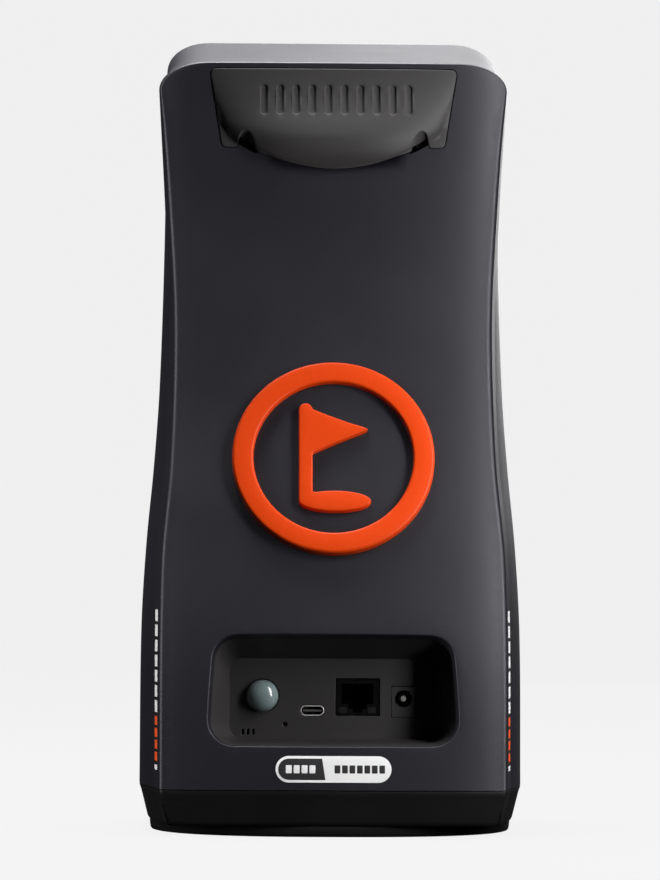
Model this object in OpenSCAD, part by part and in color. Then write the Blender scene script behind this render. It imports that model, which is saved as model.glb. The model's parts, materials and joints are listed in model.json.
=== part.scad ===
// Golf launch monitor: a tall cased instrument that stands beside the ball and watches the shot.
// The concave back carries a grip, a raised sign and a port bay; the front carries the lens window.
// Millimetres. The origin is the centre of the footprint on the floor, +Z is up, +X is to the right
// when the back is looked at, -Y is towards the back and +Y towards the lens window.

/* [Case] */
// Overall height, at the front edge of the sloping top
case_h = 305; // [302:0.5:308]
// Overall width across the widest part of the sides
case_w = 145; // [144:0.5:146]
// Overall depth at the foot of the body
case_d = 127; // [126:0.5:128]
// Height of the back edge of the top face
back_top_z = 291.5; // [290:0.5:293]
// Depth position of the back edge of the top face
back_top_y = -11; // [-12:0.5:-10]
// Depth position of the front edge of the top face
front_top_y = 47; // [46:0.5:48]
// Height of the line between the body and the base tray
base_h = 17.5; // [17:0.5:18]
// Height of the rubber foot
foot_h = 3.9; // [3.5:0.1:4.5]
// Wall thickness of the plastic shells
wall = 2.6; // [2.4:0.1:2.8]
// Gap where two shells meet
seam = 0.2; // [0.1:0.05:0.3]
// How far the middle of the back face bows outward
back_bow = 1.2; // [1:0.1:2]
// How much further the back face falls away close to its side edges
edge_fall = 3; // [2:0.5:3.5]

/* [Port bay] */
// Width of the flat port panel
panel_w = 77; // [75:1:79]
// Height of the flat port panel
panel_h = 29.8; // [29:0.2:31]
// Height of the panel's centre
panel_z = 50.6; // [50:0.2:51.2]
// Depth position of the panel's face
panel_y = -40; // [-41:0.5:-39]
// Diameter of the power button
button_d = 12; // [11:0.2:12.4]
// Travel of the power button
button_travel = 0.8; // [0.5:0.1:0.9]
// Travel of the reset switch behind its pinhole
reset_travel = 0.3; // [0.2:0.05:0.4]

/* [Sign and grip] */
// Outer diameter of the raised ring
ring_od = 76; // [72:1:78]
// Inner diameter of the raised ring
ring_id = 60; // [56:1:62]
// How far the ring stands off the back face
ring_rise = 3.5; // [2.5:0.1:4]
// Height of the ring's centre
ring_z = 140; // [136:1:144]
// Width of the grip at its top edge
grip_w = 93.6; // [90:0.4:96]
// How far the grip's lip stands off the back face
grip_lip = 11; // [10:0.5:12]

/* [Hidden] */

// ---- Profiles: each list holds [height, value] stations and curve() joins them smoothly ----

// Depth of the back face on the centreline
back_line = [[base_h, -case_d / 2], [65, -56.7], [115, -41.9], [175, -22.7],
    [235, -10.4], [262, -8.7], [back_top_z, back_top_y]];
// Half width at the crease where the back shell meets the front shell
crease_line = [[base_h, 66.4], [100, 66.3], [140, 63.2], [190, 62.2], [236, 64.1], [281, 66.6]];
// Half width of the front shell behind the crease
side_line = [[base_h, case_w / 2], [75, 72.2], [106, 70.6], [136, 67.9], [167, 65.9],
    [228, 64.3], [281, 64]];
// Forward depth of the back shell's side, from the back face to the crease
edge_depth = [[base_h, 14], [200, 13], [265, 7], [back_top_z, 3]];
// Radius between the back face and the side of the back shell
edge_round = [[base_h, 6], [200, 5.5], [265, 3], [back_top_z, 0.6]];

corner_w = 19;                         // width of the rounded upper corner
corner_h = 10.5;                       // height of the rounded upper corner
corner_z = back_top_z - corner_h;      // height where the upper corner begins
top_half = 66.6;                       // half width just below the upper corner
crease_half = 66;                      // half width that back_bow and edge_fall are measured at
side_draft = tan(8.5);                 // slope of the back shell's side
top_slope = (case_h - back_top_z) / (front_top_y - back_top_y);
lean = atan((case_d / 2 - front_top_y) / (case_h - base_h)); // backward lean of the front face
front_round = 8;                       // plan radius of the two front edges
base_taper = tan(14);                  // inward slope of the base tray
foot_step = 0.8;                       // step from the base tray in to the foot
case_top_blend_z = 255;                // height where the top slope starts to blend in

function mix(a, b, t) = a + (b - a) * t;
function clamp01(t) = min(1, max(0, t));

// Smooth curve through [position, value] stations
function span(list, p, i = 0) = i >= len(list) - 2 || p < list[i + 1][0] ? i : span(list, p, i + 1);
function rate(list, i) = let (lo = max(0, i - 1), hi = min(len(list) - 1, i + 1))
    (list[hi][1] - list[lo][1]) / (list[hi][0] - list[lo][0]);
function curve(list, p) = let (i = span(list, p), a = list[i], b = list[i + 1],
    h = b[0] - a[0], t = (p - a[0]) / h)
    (1 + 2 * t) * pow(1 - t, 2) * a[1] + t * pow(1 - t, 2) * h * rate(list, i)
    + t * t * (3 - 2 * t) * b[1] + t * t * (t - 1) * h * rate(list, i + 1);

// Half width at the crease, with the elliptical upper corner; inset makes the inner wall
function crease_x(z, inset = 0) = z <= corner_z ? curve(crease_line, z) - inset
    : top_half - inset - (corner_w - inset)
      * (1 - sqrt(max(0, 1 - pow((z - corner_z) / (corner_h - inset), 2))));
function bow_at(x) = back_bow * pow(x / crease_half, 2) + edge_fall * pow(x / crease_half, 6);
function back_y(x, z) = curve(back_line, z) + bow_at(x);
function face_x(z, inset = 0) = let (r = max(0.4, curve(edge_round, z) - inset))
    crease_x(z, inset) - side_draft * (curve(edge_depth, z) - r) - r;
function top_blend(z) = pow(clamp01((z - case_top_blend_z) / (back_top_z - case_top_blend_z)), 2);
function part_y(z) = back_y(face_x(z), z) + curve(edge_depth, z);
function part_z(z) = z + curve(edge_depth, z) * top_slope * top_blend(z);
function front_y(z) = mix(case_d / 2, front_top_y, (z - base_h) / (case_h - base_h));
function front_z(z) = mix(base_h, case_h, (z - base_h) / (back_top_z - base_h));
// Half width of the front shell: it flares out from the crease
function side_x(z) = z <= corner_z ? curve(side_line, z) : crease_x(z) - (top_half - 64);
function flare(v) = 1 - pow(1 - clamp01(v / 0.4), 2);
function front_corner(v) = front_round * (1 - sqrt(1 - pow(clamp01((v - 0.9) / 0.1), 2)));

side_steps = 17;                       // levels up the straight part of the side
corner_steps = 5;                      // levels round the upper corner
function levels(inset, first) = concat(
    [first], [for (i = [1:side_steps]) mix(base_h, corner_z, i / side_steps)],
    [for (i = [1:corner_steps]) corner_z + (corner_h - inset) * sin(90 * i / corner_steps)]);

face_steps = 8;                        // steps from the centreline to the back shell's edge
arc_steps = 3;                         // steps round the back shell's edge
// Right half of one level of the back: the face, the rounded edge and the side up to the crease
function back_half(z, inset = 0, past = 0) =
    let (w = crease_x(z, inset), d = curve(edge_depth, z), r = max(0.4, curve(edge_round, z) - inset),
         xf = face_x(z, inset), rise = top_slope * top_blend(z))
    concat(
        [for (i = [0:face_steps - 1]) let (x = xf * i / face_steps) [x, back_y(x, z) + inset, z]],
        [for (i = [0:arc_steps]) let (a = 90 * i / arc_steps, e = r * (1 - cos(a)))
            [xf + r * sin(a), back_y(xf, z) + inset + e, z + e * rise]],
        [let (e = d - inset + past) [w, back_y(xf, z) + inset + e, z + e * rise]]);

function mirrored(half) = concat([for (i = [len(half) - 1:-1:1]) [-half[i].x, half[i].y, half[i].z]],
    half);

// Solid through a stack of rings that are symmetric about X = 0; its ends are strips across
module loft(rings) {
    n = len(rings[0]);
    m = len(rings);
    sides = [for (j = [0:m - 2], i = [0:n - 1])
        let (a = j * n + i, b = j * n + (i + 1) % n) each [[a, b + n, b], [a, a + n, b + n]]];
    strips = [for (i = [0:floor((n - 1) / 2) - 1])
        i + 1 == n - 2 - i ? [i, i + 1, n - 1 - i] : [i, i + 1, n - 2 - i, n - 1 - i]];
    last = (m - 1) * n;
    ends = [for (s = strips) each [s, [for (k = [len(s) - 1:-1:0]) s[k] + last]]];
    polyhedron([for (ring = rings, p = ring) p], concat(sides, ends), convexity = 10);
}

// Solid between rings that are each flat; its ends are single faces
module flat_loft(rings) {
    n = len(rings[0]);
    m = len(rings);
    sides = [for (j = [0:m - 2], i = [0:n - 1])
        let (a = j * n + i, b = j * n + (i + 1) % n) each [[a, b + n, b], [a, a + n, b + n]]];
    polyhedron([for (ring = rings, p = ring) p], concat(sides, [[for (i = [0:n - 1]) i],
        [for (i = [n - 1:-1:0]) i + (m - 1) * n]]), convexity = 10);
}

// Evaluates its children as one mesh, which free-form shells need
module as_mesh() {
    resize([0, 0, 0]) children();
}

module back_solid(inset = 0, past = 0, first = base_h) {
    loft([for (z = levels(inset, first)) mirrored(back_half(z, inset, past))]);
}

// Places children on the back face at a height, with -Y standing straight out of the face
module on_back(z) {
    tilt = atan((back_y(0, z + 1) - back_y(0, z - 1)) / 2);
    translate([0, back_y(0, z), z]) rotate([-tilt, 0, 0]) children();
}

// Places children on the front face: +Z runs up the face and +Y stands out of it
module on_front() {
    translate([0, case_d / 2, base_h]) rotate([lean, 0, 0]) children();
}

module rounded_rect(w, h, r) {
    hull() for (x = [-1, 1], y = [-1, 1])
        translate([x * (w / 2 - r), y * (h / 2 - r)]) circle(r, $fn = 32);
}

// Plate in the XZ plane, centred on X and Z, with its near face at y
module upright_plate(w, h, r, y, t) {
    translate([0, y + t, 0]) rotate([90, 0, 0]) linear_extrude(t) rounded_rect(w, h, r);
}

// Cylinder along +Y from y0 to y1 at x, z
module along_y(x, z, y0, y1, d, fn = 48) {
    translate([x, y0, z]) rotate([-90, 0, 0]) cylinder(h = y1 - y0, d = d, $fn = fn);
}

module box_at(x0, x1, y0, y1, z0, z1) {
    translate([x0, y0, z0]) cube([x1 - x0, y1 - y0, z1 - z0]);
}

// ---- Shells ----

post_back = [57, -40];                 // base screw posts of the back shell
post_front = [60, 38];                 // base screw posts of the front shell
bay_half_w = panel_w / 2;
bay_draft = 0.42;                      // sideways slope of the bay's side walls
bay_roof = 0.65;                       // slope of the bay's ceiling
bay_floor = 0.105;                     // slope of the bay's floor
bay_reach = 30;                        // length of the bay's cutting solid

function rounded_ring(x, z0, z1, r, y, steps = 6) = let (corners = [[x - r, z1 - r, 0],
    [r - x, z1 - r, 90], [r - x, z0 + r, 180], [x - r, z0 + r, 270]])
    [for (c = corners, i = [0:steps]) let (a = c[2] + 90 * i / steps)
        [c[0] + r * cos(a), y, c[1] + r * sin(a)]];

// Tapered space of the port bay, grown sideways by grow
module bay_space(grow = 0, back = panel_y) {
    z0 = panel_z - panel_h / 2;
    z1 = panel_z + panel_h / 2;
    flat_loft([for (s = [0, 1]) let (e = mix(panel_y - back, bay_reach, s))
        rounded_ring(bay_half_w + bay_draft * e + grow, z0 - bay_floor * e - grow,
            z1 + bay_roof * e + grow, mix(4.5, 13.5, s) + grow, panel_y - e)]);
}

finger_z = 260;                        // height of the finger pocket's centre
finger_y = -5;                         // depth position of the finger pocket's centre
finger_r = 7;                          // radius of the finger pocket
finger_half = 22;                      // half length of the finger pocket's straight part

module finger_pocket(grow = 0) {
    hull() for (s = [-1, 1]) translate([s * finger_half, finger_y, finger_z])
        sphere(r = finger_r + grow, $fn = 24);
}

gap_y = -11;                           // depth position of the finger gap behind the lip
gap_r = 3.8;                           // half depth of the finger gap
gap_half = 18;                         // half length of its straight part
gap_low = 248;                         // height of its lowest sphere centre

screw_x = 33;                          // side position of the grip screws
screw_z = 261.5;                       // height of the grip screws
screw_seat = -10.1;                    // depth position of the seat under their heads

module rear_shell() {
    color([0.16, 0.16, 0.18]) as_mesh() difference() {
        union() {
            difference() {
                back_solid();
                back_solid(wall, 4, base_h - 3);
            }
            intersection() {
                back_solid();
                union() {
                    finger_pocket(2);
                    for (s = [-1, 1]) {
                        along_y(s * screw_x, screw_z, -12, 4, 8, 24);
                        translate([s * post_back.x, post_back.y, base_h]) cylinder(h = 16, d = 8, $fn = 24);
                        box_at(s * 60.5 - 4, s * 60.5 + 4, post_back.y - 2, post_back.y + 2,
                            base_h, base_h + 14);
                    }
                }
            }
            intersection() {
                back_solid(0.8, 0);
                on_back(ring_z) along_y(0, 0, 0.2, 4.2, ring_od + 4, 48);
            }
        }
        bay_space(back = panel_y);
        finger_pocket();
        on_back(ring_z) ring_pocket();
        for (s = [-1, 1]) {
            along_y(s * screw_x, screw_z, -14, 8, 3.3, 24);
            translate([s * post_back.x, post_back.y, base_h - 1]) cylinder(h = 15, d = 3.2, $fn = 24);
        }
        on_back(label_z) upright_plate(label_w + 0.3, label_h + 0.3, (label_h + 0.3) / 2, -3, 3.75);
    }
}

ring_seat = 1.3;                       // depth of the ring's groove below the face
module ring_pocket() {
    difference() {
        along_y(0, 0, -6, ring_seat, ring_od + 0.3, 96);
        along_y(0, 0, -7, ring_seat + 1, ring_id - 0.3, 96);
    }
    translate([0, -6, 0]) flag_shape(6 + ring_seat, 0.15);
}

fan = [0, 0.05, 0.12, 0.2, 0.3, 0.4, 0.65, 0.9, 0.95, 0.985, 1];
top_steps = 2;                         // steps from the upper corner to the centre of the top

// One arch of the front shell, from the right foot over the top to the left foot
function arch(v, inset, first) = let (
    side = [for (z = levels(inset, first))
        [crease_x(z, inset) + (side_x(z) - crease_x(z)) * flare(v) - front_corner(v),
         mix(part_y(z) + (inset > 0 ? -4 : seam), front_y(front_z(z)) - inset, v),
         mix(part_z(z), front_z(z), v)]],
    top = side[len(side) - 1],
    flat_top = [for (i = [1:top_steps - 1]) let (x = top.x * (1 - i / top_steps))
        [x, mix(back_y(x, back_top_z) + curve(edge_depth, back_top_z) + (inset > 0 ? -4 : seam),
            front_y(front_z(back_top_z)) - inset, v), top.z]],
    half = concat(side, flat_top))
    concat(half, [for (i = [len(half) - 1:-1:0]) [-half[i].x, half[i].y, half[i].z]]);

module front_solid(inset = 0, first = base_h) {
    loft([for (i = [len(fan) - 1:-1:0]) arch(fan[i], inset, first)]);
}

window_w = 104;                        // width of the lens window
window_h = 150;                        // height of the lens window
window_u = 97;                         // its centre's distance up the front face
display_w = 84;                        // width of the display glass
display_h = 58;                        // height of the display glass
display_u = 232;                       // its centre's distance up the front face
glass_t = 2;                           // thickness of both glasses
lip_t = 1.2;                           // thickness of the rebate under the glass

module front_shell() {
    color([0.13, 0.13, 0.145]) as_mesh() difference() {
        union() {
            difference() {
                front_solid();
                front_solid(wall, base_h - 3);
            }
            for (s = [-1, 1]) {
                translate([s * post_front.x, post_front.y, base_h]) cylinder(h = 16, d = 8, $fn = 24);
                box_at(s * 66 - 4, s * 66 + 4, post_front.y - 2, post_front.y + 2, base_h, base_h + 14);
                box_at(s * 58 - 5, s * 58 + 5, 16.4, 22, 262, 274);
            }
            on_front() translate([0, 0, window_u])
                upright_plate(window_w + 3, window_h + 6, 11, -5, 4);
            on_front() translate([0, 0, display_u])
                upright_plate(display_w + 6, display_h + 6, 7, -5, 4);
        }
        on_front() translate([0, 0, window_u]) {
            upright_plate(window_w + 0.4, window_h + 0.4, 10.2, -glass_t - 1, 9);
            upright_plate(window_w - 6, window_h - 6, 8, -9, 12);
        }
        on_front() translate([0, 0, display_u]) {
            upright_plate(display_w + 0.4, display_h + 0.4, 6.2, -glass_t, 8);
            upright_plate(display_w - 8, display_h - 8, 3, -9, 12);
        }
        for (s = [-1, 1]) {
            translate([s * post_front.x, post_front.y, base_h - 1]) cylinder(h = 15, d = 3.2, $fn = 24);
            along_y(s * 56, 268, 8, 23, 3.2, 24);
        }
    }
}

// Right half of the body's outline at the base line, from the back centre to the front centre
base_half = concat([for (p = back_half(base_h)) [p.x, p.y]],
    [for (v = fan) if (v > 0) let (p = arch(v, 0, base_h)[0]) [p.x, p.y]]);
base_outline = concat(base_half, [for (i = [len(base_half) - 1:-1:1]) [-base_half[i].x, base_half[i].y]]);

// Outline moved inward, each point along the mean of its neighbours' directions
function inward(pts, d) = let (n = len(pts)) [for (i = [0:n - 1])
    let (t = pts[(i + 1) % n] - pts[(i + n - 1) % n], u = t / norm(t)) pts[i] + d * [-u.y, u.x]];
function at_height(pts, z) = [for (p = pts) [p.x, p.y, z]];
function tray_ring(z, inset = 0) = at_height(inward(base_outline,
    0.15 + (base_h - z) * base_taper + inset), z);

tray_top = base_h - seam;
screw_posts = [for (s = [-1, 1], p = [post_back, post_front]) [s * p.x, p.y]];

module base_tray() {
    color([0.05, 0.05, 0.055]) as_mesh() difference() {
        flat_loft([tray_ring(foot_h), tray_ring(tray_top)]);
        flat_loft([tray_ring(foot_h + 3, wall), tray_ring(base_h + 1, wall)]);
        for (p = screw_posts) translate([p.x, p.y, 0]) {
            cylinder(h = 12, d = 3.6, $fn = 24);
            cylinder(h = foot_h + 1.8, d = 6.6, $fn = 24);
        }
    }
}

module base_gasket() {
    color([0.1, 0.1, 0.1]) translate([0, 0, tray_top - 1.6]) linear_extrude(1.4) difference() {
        polygon(inward(base_outline, wall + 1.2));
        polygon(inward(base_outline, wall + 3.2));
    }
}

module foot_pad() {
    color([0.04, 0.04, 0.045]) flat_loft([
        at_height(inward(base_outline, foot_step + 4.4 + 1.6), 0),
        at_height(inward(base_outline, foot_step + 4.4 + 0.4), 0.9),
        at_height(inward(base_outline, foot_step + 4.4), 2.2),
        at_height(inward(base_outline, foot_step + 3.6), foot_h - 0.1)]);
}

// ---- Grip ----

grip_top = 288;                        // height of the grip's top edge
grip_foot = 258;                       // height of the grip's lower corners
lip_z = 250;                           // height of the lip's lowest point
lip_half = 30;                         // half width of the lip
grip_back = 0.25;                      // gap between the grip and the shell

function grip_half(z) = mix(grip_w / 2 - 4.2, grip_w / 2, clamp01((z - grip_foot) / (grip_top - grip_foot)));
function grip_low(x) = abs(x) < lip_half ? mix(lip_z, grip_foot - 1, pow(abs(x) / lip_half, 2)) : grip_foot;
function grip_rise(x, s) = let (c = clamp01(1 - pow(abs(x) / 40, 2)))
    0.9 + pow(1 - s, 1.3) * (1.2 + (grip_lip - 2) * c);
grip_cols = 20;
grip_rows = 8;
function grip_point(i, j, out) = let (t = 2 * i / grip_cols - 1, s = j / grip_rows,
    x0 = t * grip_w / 2, z = mix(grip_low(x0), grip_top + 0.6 * (1 - t * t), s),
    x = t * grip_half(z), y = back_y(x, z))
    [x, out ? y - grip_rise(x, s) : y - grip_back, z];

module grip_block() {
    n = grip_cols + 1;
    m = grip_rows + 1;
    outer = [for (j = [0:grip_rows], i = [0:grip_cols]) grip_point(i, j, true)];
    inner = [for (j = [0:grip_rows], i = [0:grip_cols]) grip_point(i, j, false)];
    k = n * m;
    skin = [for (j = [0:grip_rows - 1], i = [0:grip_cols - 1]) let (a = j * n + i)
        each [[a, a + n, a + n + 1], [a, a + n + 1, a + 1],
              [k + a, k + a + n + 1, k + a + n], [k + a, k + a + 1, k + a + n + 1]]];
    ends = [for (i = [0:grip_cols - 1]) each [[i, i + 1, k + i + 1], [i, k + i + 1, k + i]]];
    tops = [for (i = [0:grip_cols - 1]) let (a = grip_rows * n + i)
        each [[a, k + a + 1, a + 1], [a, k + a, k + a + 1]]];
    lefts = [for (j = [0:grip_rows - 1]) let (a = j * n)
        each [[a, k + a + n, a + n], [a, k + a, k + a + n]]];
    rights = [for (j = [0:grip_rows - 1]) let (a = j * n + grip_cols)
        each [[a, a + n, k + a + n], [a, k + a + n, k + a]]];
    polyhedron(concat(outer, inner), concat(skin, ends, tops, lefts, rights), convexity = 6);
}

module grip() {
    color([0.27, 0.26, 0.26]) as_mesh() difference() {
        grip_block();
        finger_pocket();
        hull() for (s = [-1, 1], z = [gap_low, finger_z - 3]) translate([s * gap_half, gap_y, z])
            sphere(r = gap_r, $fn = 24);
        for (s = [-1, 1]) {
            along_y(s * screw_x, screw_z, -30, screw_seat, 7.2, 24);
            along_y(s * screw_x, screw_z, -30, 0, 3.4, 24);
        }
    }
}

module grip_screws() {
    color([0.35, 0.35, 0.37]) for (s = [-1, 1]) difference() {
        union() {
            along_y(s * screw_x, screw_z, screw_seat - 1.8, screw_seat - 0.05, 6);
            along_y(s * screw_x, screw_z, screw_seat - 0.1, 3, 3);
        }
        along_y(s * screw_x, screw_z, screw_seat - 2.5, screw_seat - 0.8, 3, 6);
    }
}

// ---- Port bay ----

panel_t = 2;                           // thickness of the port panel
port_gap = 0.3;                        // clearance round each connector in the panel
board_top = panel_z - 6.9;             // upper face of the I/O board
board_t = 1.6;                         // thickness of every circuit board

button_x = -26.2;
button_z = panel_z + 0.9;
reset_x = -17.6;
reset_z = panel_z - 9.7;
slot_x = -31.5;                        // middle buzzer slot
slot_z = panel_z - 12.6;
usb_x = -7.5;
usb_z = panel_z - 4.6;
usb_w = 8.94;
usb_h = 3.2;
net_x = 9.4;
net_z = panel_z + 0.5;
net_w = 16;
net_h = 13.4;
dc_x = 26.6;
dc_z = panel_z;
dc_w = 9;
dc_h = 11.4;
dc_low = board_top + 0.02;             // underside of the power inlet's block

module port_bay() {
    color([0.15, 0.14, 0.14]) as_mesh() difference() {
        intersection() {
            back_solid(wall + 0.1, 0, base_h - 1);
            bay_space(2, panel_y + 0.001);
        }
        bay_space(0, panel_y + 0.1);
    }
}

module stadium(w, h) {
    hull() for (s = [-1, 1]) translate([s * (w - h) / 2, 0]) circle(d = h, $fn = 48);
}

module port_panel() {
    color([0.13, 0.125, 0.12]) difference() {
        translate([0, 0, panel_z]) upright_plate(panel_w + 6, panel_h + 4, 5, panel_y + 0.05, panel_t);
        along_y(button_x, button_z, panel_y - 1, panel_y + 4, button_d + 0.5);
        along_y(reset_x, reset_z, panel_y - 1, panel_y + 4, 1.9);
        for (i = [-1, 0, 1]) translate([slot_x + i * 1.95 - 0.5, panel_y - 1, slot_z - 1.05])
            cube([1, 5, 2.1]);
        translate([usb_x, panel_y + 4, usb_z]) rotate([90, 0, 0])
            linear_extrude(6) stadium(usb_w + 2 * port_gap, usb_h + 2 * port_gap);
        translate([net_x - net_w / 2 - port_gap, panel_y - 1, net_z - net_h / 2 - port_gap])
            cube([net_w + 2 * port_gap, 5, net_h + 2 * port_gap]);
        translate([dc_x - dc_w / 2 - port_gap, panel_y - 1, dc_low - port_gap])
            cube([dc_w + 2 * port_gap, 5, dc_h + 2 * port_gap]);
    }
}

button_back = panel_y + panel_t + 0.15;   // front face of the button's retaining flange
module power_button() {
    color([0.62, 0.72, 0.72]) translate([button_x, 0, button_z]) rotate([90, 0, 0]) {
        dome_r = 7;
        dome_y = panel_y - 1.6;
        rotate_extrude($fn = 96) polygon(concat([[0, -button_back - 1], [7.4, -button_back - 1],
            [7.4, -button_back], [button_d / 2, -button_back], [button_d / 2, -dome_y]],
            [for (i = [1:7]) let (a = asin(button_d / 2 / dome_r) * (1 - i / 7))
                [dome_r * sin(a), -dome_y + dome_r * cos(a)
                    - sqrt(dome_r * dome_r - button_d * button_d / 4)]]));
        translate([0, 0, -button_back - 3.4]) cylinder(h = 2.5, d = 4, $fn = 32);
    }
}

guide_y = button_back + 2.2;           // front of the light guide
module button_light_guide() {
    color([0.8, 0.85, 0.85]) difference() {
        union() {
            along_y(button_x, button_z, guide_y, guide_y + 2, 11);
            box_at(button_x - 4, button_x + 4, guide_y, guide_y + 2, board_top + 0.02, button_z - 3);
        }
        along_y(button_x, button_z, guide_y - 1, guide_y + 3, 5);
    }
}

switch_y = guide_y + 2.4;              // front of the power switch
plunger_y = button_back + 3.5;         // front of the switch's plunger
module power_switch() {
    color([0.12, 0.12, 0.13]) difference() {
        box_at(button_x - 3.2, button_x + 3.2, switch_y, switch_y + 4.5, board_top + 0.02, button_z + 3.2);
        along_y(button_x, button_z, switch_y - 1, switch_y + 3.2, 2.6, 32);
    }
}

module switch_plunger() {
    color([0.75, 0.72, 0.6]) along_y(button_x, button_z, plunger_y, switch_y + 2, 2.4, 32);
}

reset_y = panel_y + panel_t + 2.4;     // front of the reset switch
module reset_switch() {
    color([0.12, 0.12, 0.13]) difference() {
        box_at(reset_x - 2.3, reset_x + 2.3, reset_y, reset_y + 3.5,
            reset_z - 1.7, board_top - board_t - 0.02);
        along_y(reset_x, reset_z, reset_y - 1, reset_y + 2.4, 1.7, 32);
    }
}

module reset_plunger() {
    color([0.75, 0.72, 0.6]) along_y(reset_x, reset_z, reset_y - 1.2, reset_y + 1.8, 1.5, 32);
}

module buzzer() {
    color([0.08, 0.08, 0.08]) difference() {
        along_y(slot_x, slot_z + 0.5, panel_y + panel_t + 0.6, panel_y + panel_t + 5, 7);
        along_y(slot_x, slot_z + 0.5, panel_y + panel_t + 0.4, panel_y + panel_t + 2, 2);
    }
}

board_holes = [[-36, -14], [36, -14], [-36, -34.4], [36, -34.4]];
module io_board() {
    color([0.1, 0.3, 0.18]) difference() {
        box_at(-40, 40, panel_y + panel_t + 0.4, -10, board_top - board_t, board_top);
        for (p = board_holes) translate([p.x, p.y, board_top - 5]) cylinder(h = 9, d = 3.2, $fn = 32);
    }
}

module usb_shell() {
    color([0.72, 0.72, 0.74]) {
        translate([usb_x, panel_y + 0.1 + 7.3, usb_z]) rotate([90, 0, 0]) linear_extrude(7.3)
            difference() {
                stadium(usb_w, usb_h);
                stadium(usb_w - 0.6, usb_h - 0.6);
            }
        for (s = [-1, 1]) box_at(usb_x + s * 3 - 0.6, usb_x + s * 3 + 0.6, panel_y + 4, panel_y + 6,
            board_top + 0.02, usb_z - usb_h / 2 + 0.1);
    }
}

module usb_tongue() {
    color([0.07, 0.07, 0.07]) {
        box_at(usb_x - 3.35, usb_x + 3.35, panel_y + 0.8, panel_y + 5.5, usb_z - 0.35, usb_z + 0.35);
        translate([usb_x, panel_y + 7.3, usb_z]) rotate([90, 0, 0]) linear_extrude(1.9)
            stadium(usb_w - 0.7, usb_h - 0.7);
    }
}

net_depth = 15.5;                      // length of the Ethernet socket
net_y = panel_y + 0.4;                 // mouth of its housing
plug_w = 11.8;                         // width of the plug cavity
plug_z0 = net_z - 2.6;                 // floor of the wide part of the cavity
plug_z1 = net_z + 5;                   // ceiling of the cavity

module ethernet_housing() {
    color([0.07, 0.07, 0.07]) difference() {
        box_at(net_x - 7.6, net_x + 7.6, net_y, net_y + net_depth, net_z - 6.4, net_z + 6.4);
        box_at(net_x - plug_w / 2, net_x + plug_w / 2, net_y - 1, net_y + 13, plug_z0, plug_z1);
        box_at(net_x - 3.3, net_x + 3.3, net_y - 1, net_y + 11, net_z - 4.4, net_z);
        box_at(net_x - 1.7, net_x + 1.7, net_y - 1, net_y + 11, net_z - 5.8, net_z);
        for (s = [-1, 1]) box_at(net_x + s * 5.5 - 1.6, net_x + s * 5.5 + 1.6,
            net_y - 1, net_y + 8, net_z - 6, net_z - 3.6);
        for (i = [0:7]) box_at(net_x - 3.57 + i * 1.02 - 0.3, net_x - 3.57 + i * 1.02 + 0.3,
            net_y + 0.8, net_y + 14, plug_z1 - 1, plug_z1 + 0.7);
    }
}

module ethernet_shield() {
    color([0.75, 0.75, 0.77]) difference() {
        box_at(net_x - net_w / 2, net_x + net_w / 2, net_y - 0.2, net_y + net_depth + 0.25,
            net_z - net_h / 2, net_z + net_h / 2);
        box_at(net_x - 7.65, net_x + 7.65, net_y - 1, net_y + net_depth + 0.02,
            net_z - 6.45, net_z + 6.45);
    }
}

module ethernet_contacts() {
    color([0.85, 0.68, 0.3]) for (i = [0:7]) translate([net_x - 3.57 + i * 1.02 - 0.2, 0, 0]) {
        box_at(0, 0.4, net_y + 1, net_y + 13.4, plug_z1 + 0.2, plug_z1 + 0.6);
        translate([0, net_y + 1, plug_z1 + 0.25]) rotate([-22, 0, 0]) cube([0.4, 6.5, 0.35]);
    }
}

module ethernet_light_pipes() {
    color([0.6, 0.75, 0.5]) for (s = [-1, 1]) box_at(net_x + s * 5.5 - 1.5, net_x + s * 5.5 + 1.5,
        net_y + 0.1, net_y + 7.9, net_z - 5.9, net_z - 3.7);
}

dc_y = panel_y - 0.1;                  // mouth of the DC power inlet

module dc_jack_body() {
    color([0.08, 0.08, 0.08]) difference() {
        box_at(dc_x - dc_w / 2, dc_x + dc_w / 2, dc_y, dc_y + 13, dc_low, dc_low + dc_h);
        along_y(dc_x, dc_z, dc_y - 1, dc_y + 11.5, 6.3, 64);
        along_y(dc_x, dc_z, dc_y + 11.4, dc_y + 12.6, 3, 48);
        box_at(dc_x - 1.2, dc_x + 1.2, dc_y + 1.5, dc_y + 9, dc_z - 4.2, dc_z - 2.5);
    }
}

module dc_jack_pin() {
    color([0.8, 0.8, 0.82]) {
        along_y(dc_x, dc_z, dc_y + 1.4, dc_y + 11.3, 2, 48);
        along_y(dc_x, dc_z, dc_y + 11.2, dc_y + 12.5, 2.8, 48);
    }
}

module dc_jack_contact() {
    color([0.75, 0.75, 0.77]) box_at(dc_x - 0.9, dc_x + 0.9, dc_y + 2, dc_y + 8.6, dc_z - 4, dc_z - 3.4);
}

// ---- Sign, label and side markings ----

module emblem_ring() {
    edge = 1.1;
    color([0.93, 0.33, 0.09]) on_back(ring_z) rotate([90, 0, 0]) rotate_extrude($fn = 128)
        polygon(concat(
            [[ring_id / 2, -ring_seat + 0.05], [ring_od / 2, -ring_seat + 0.05]],
            [for (i = [0:4]) let (a = 90 * i / 4) [ring_od / 2 - edge + edge * cos(a),
                ring_rise - edge + edge * sin(a)]],
            [for (i = [0:4]) let (a = 90 + 90 * i / 4) [ring_id / 2 + edge + edge * cos(a),
                ring_rise - edge + edge * sin(a)]]));
}

flag_h = 43;                           // height of the flag sign inside the ring
flag_w = 26;                           // width of the flag sign
pole_w = 5.2;                          // width of its pole
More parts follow.
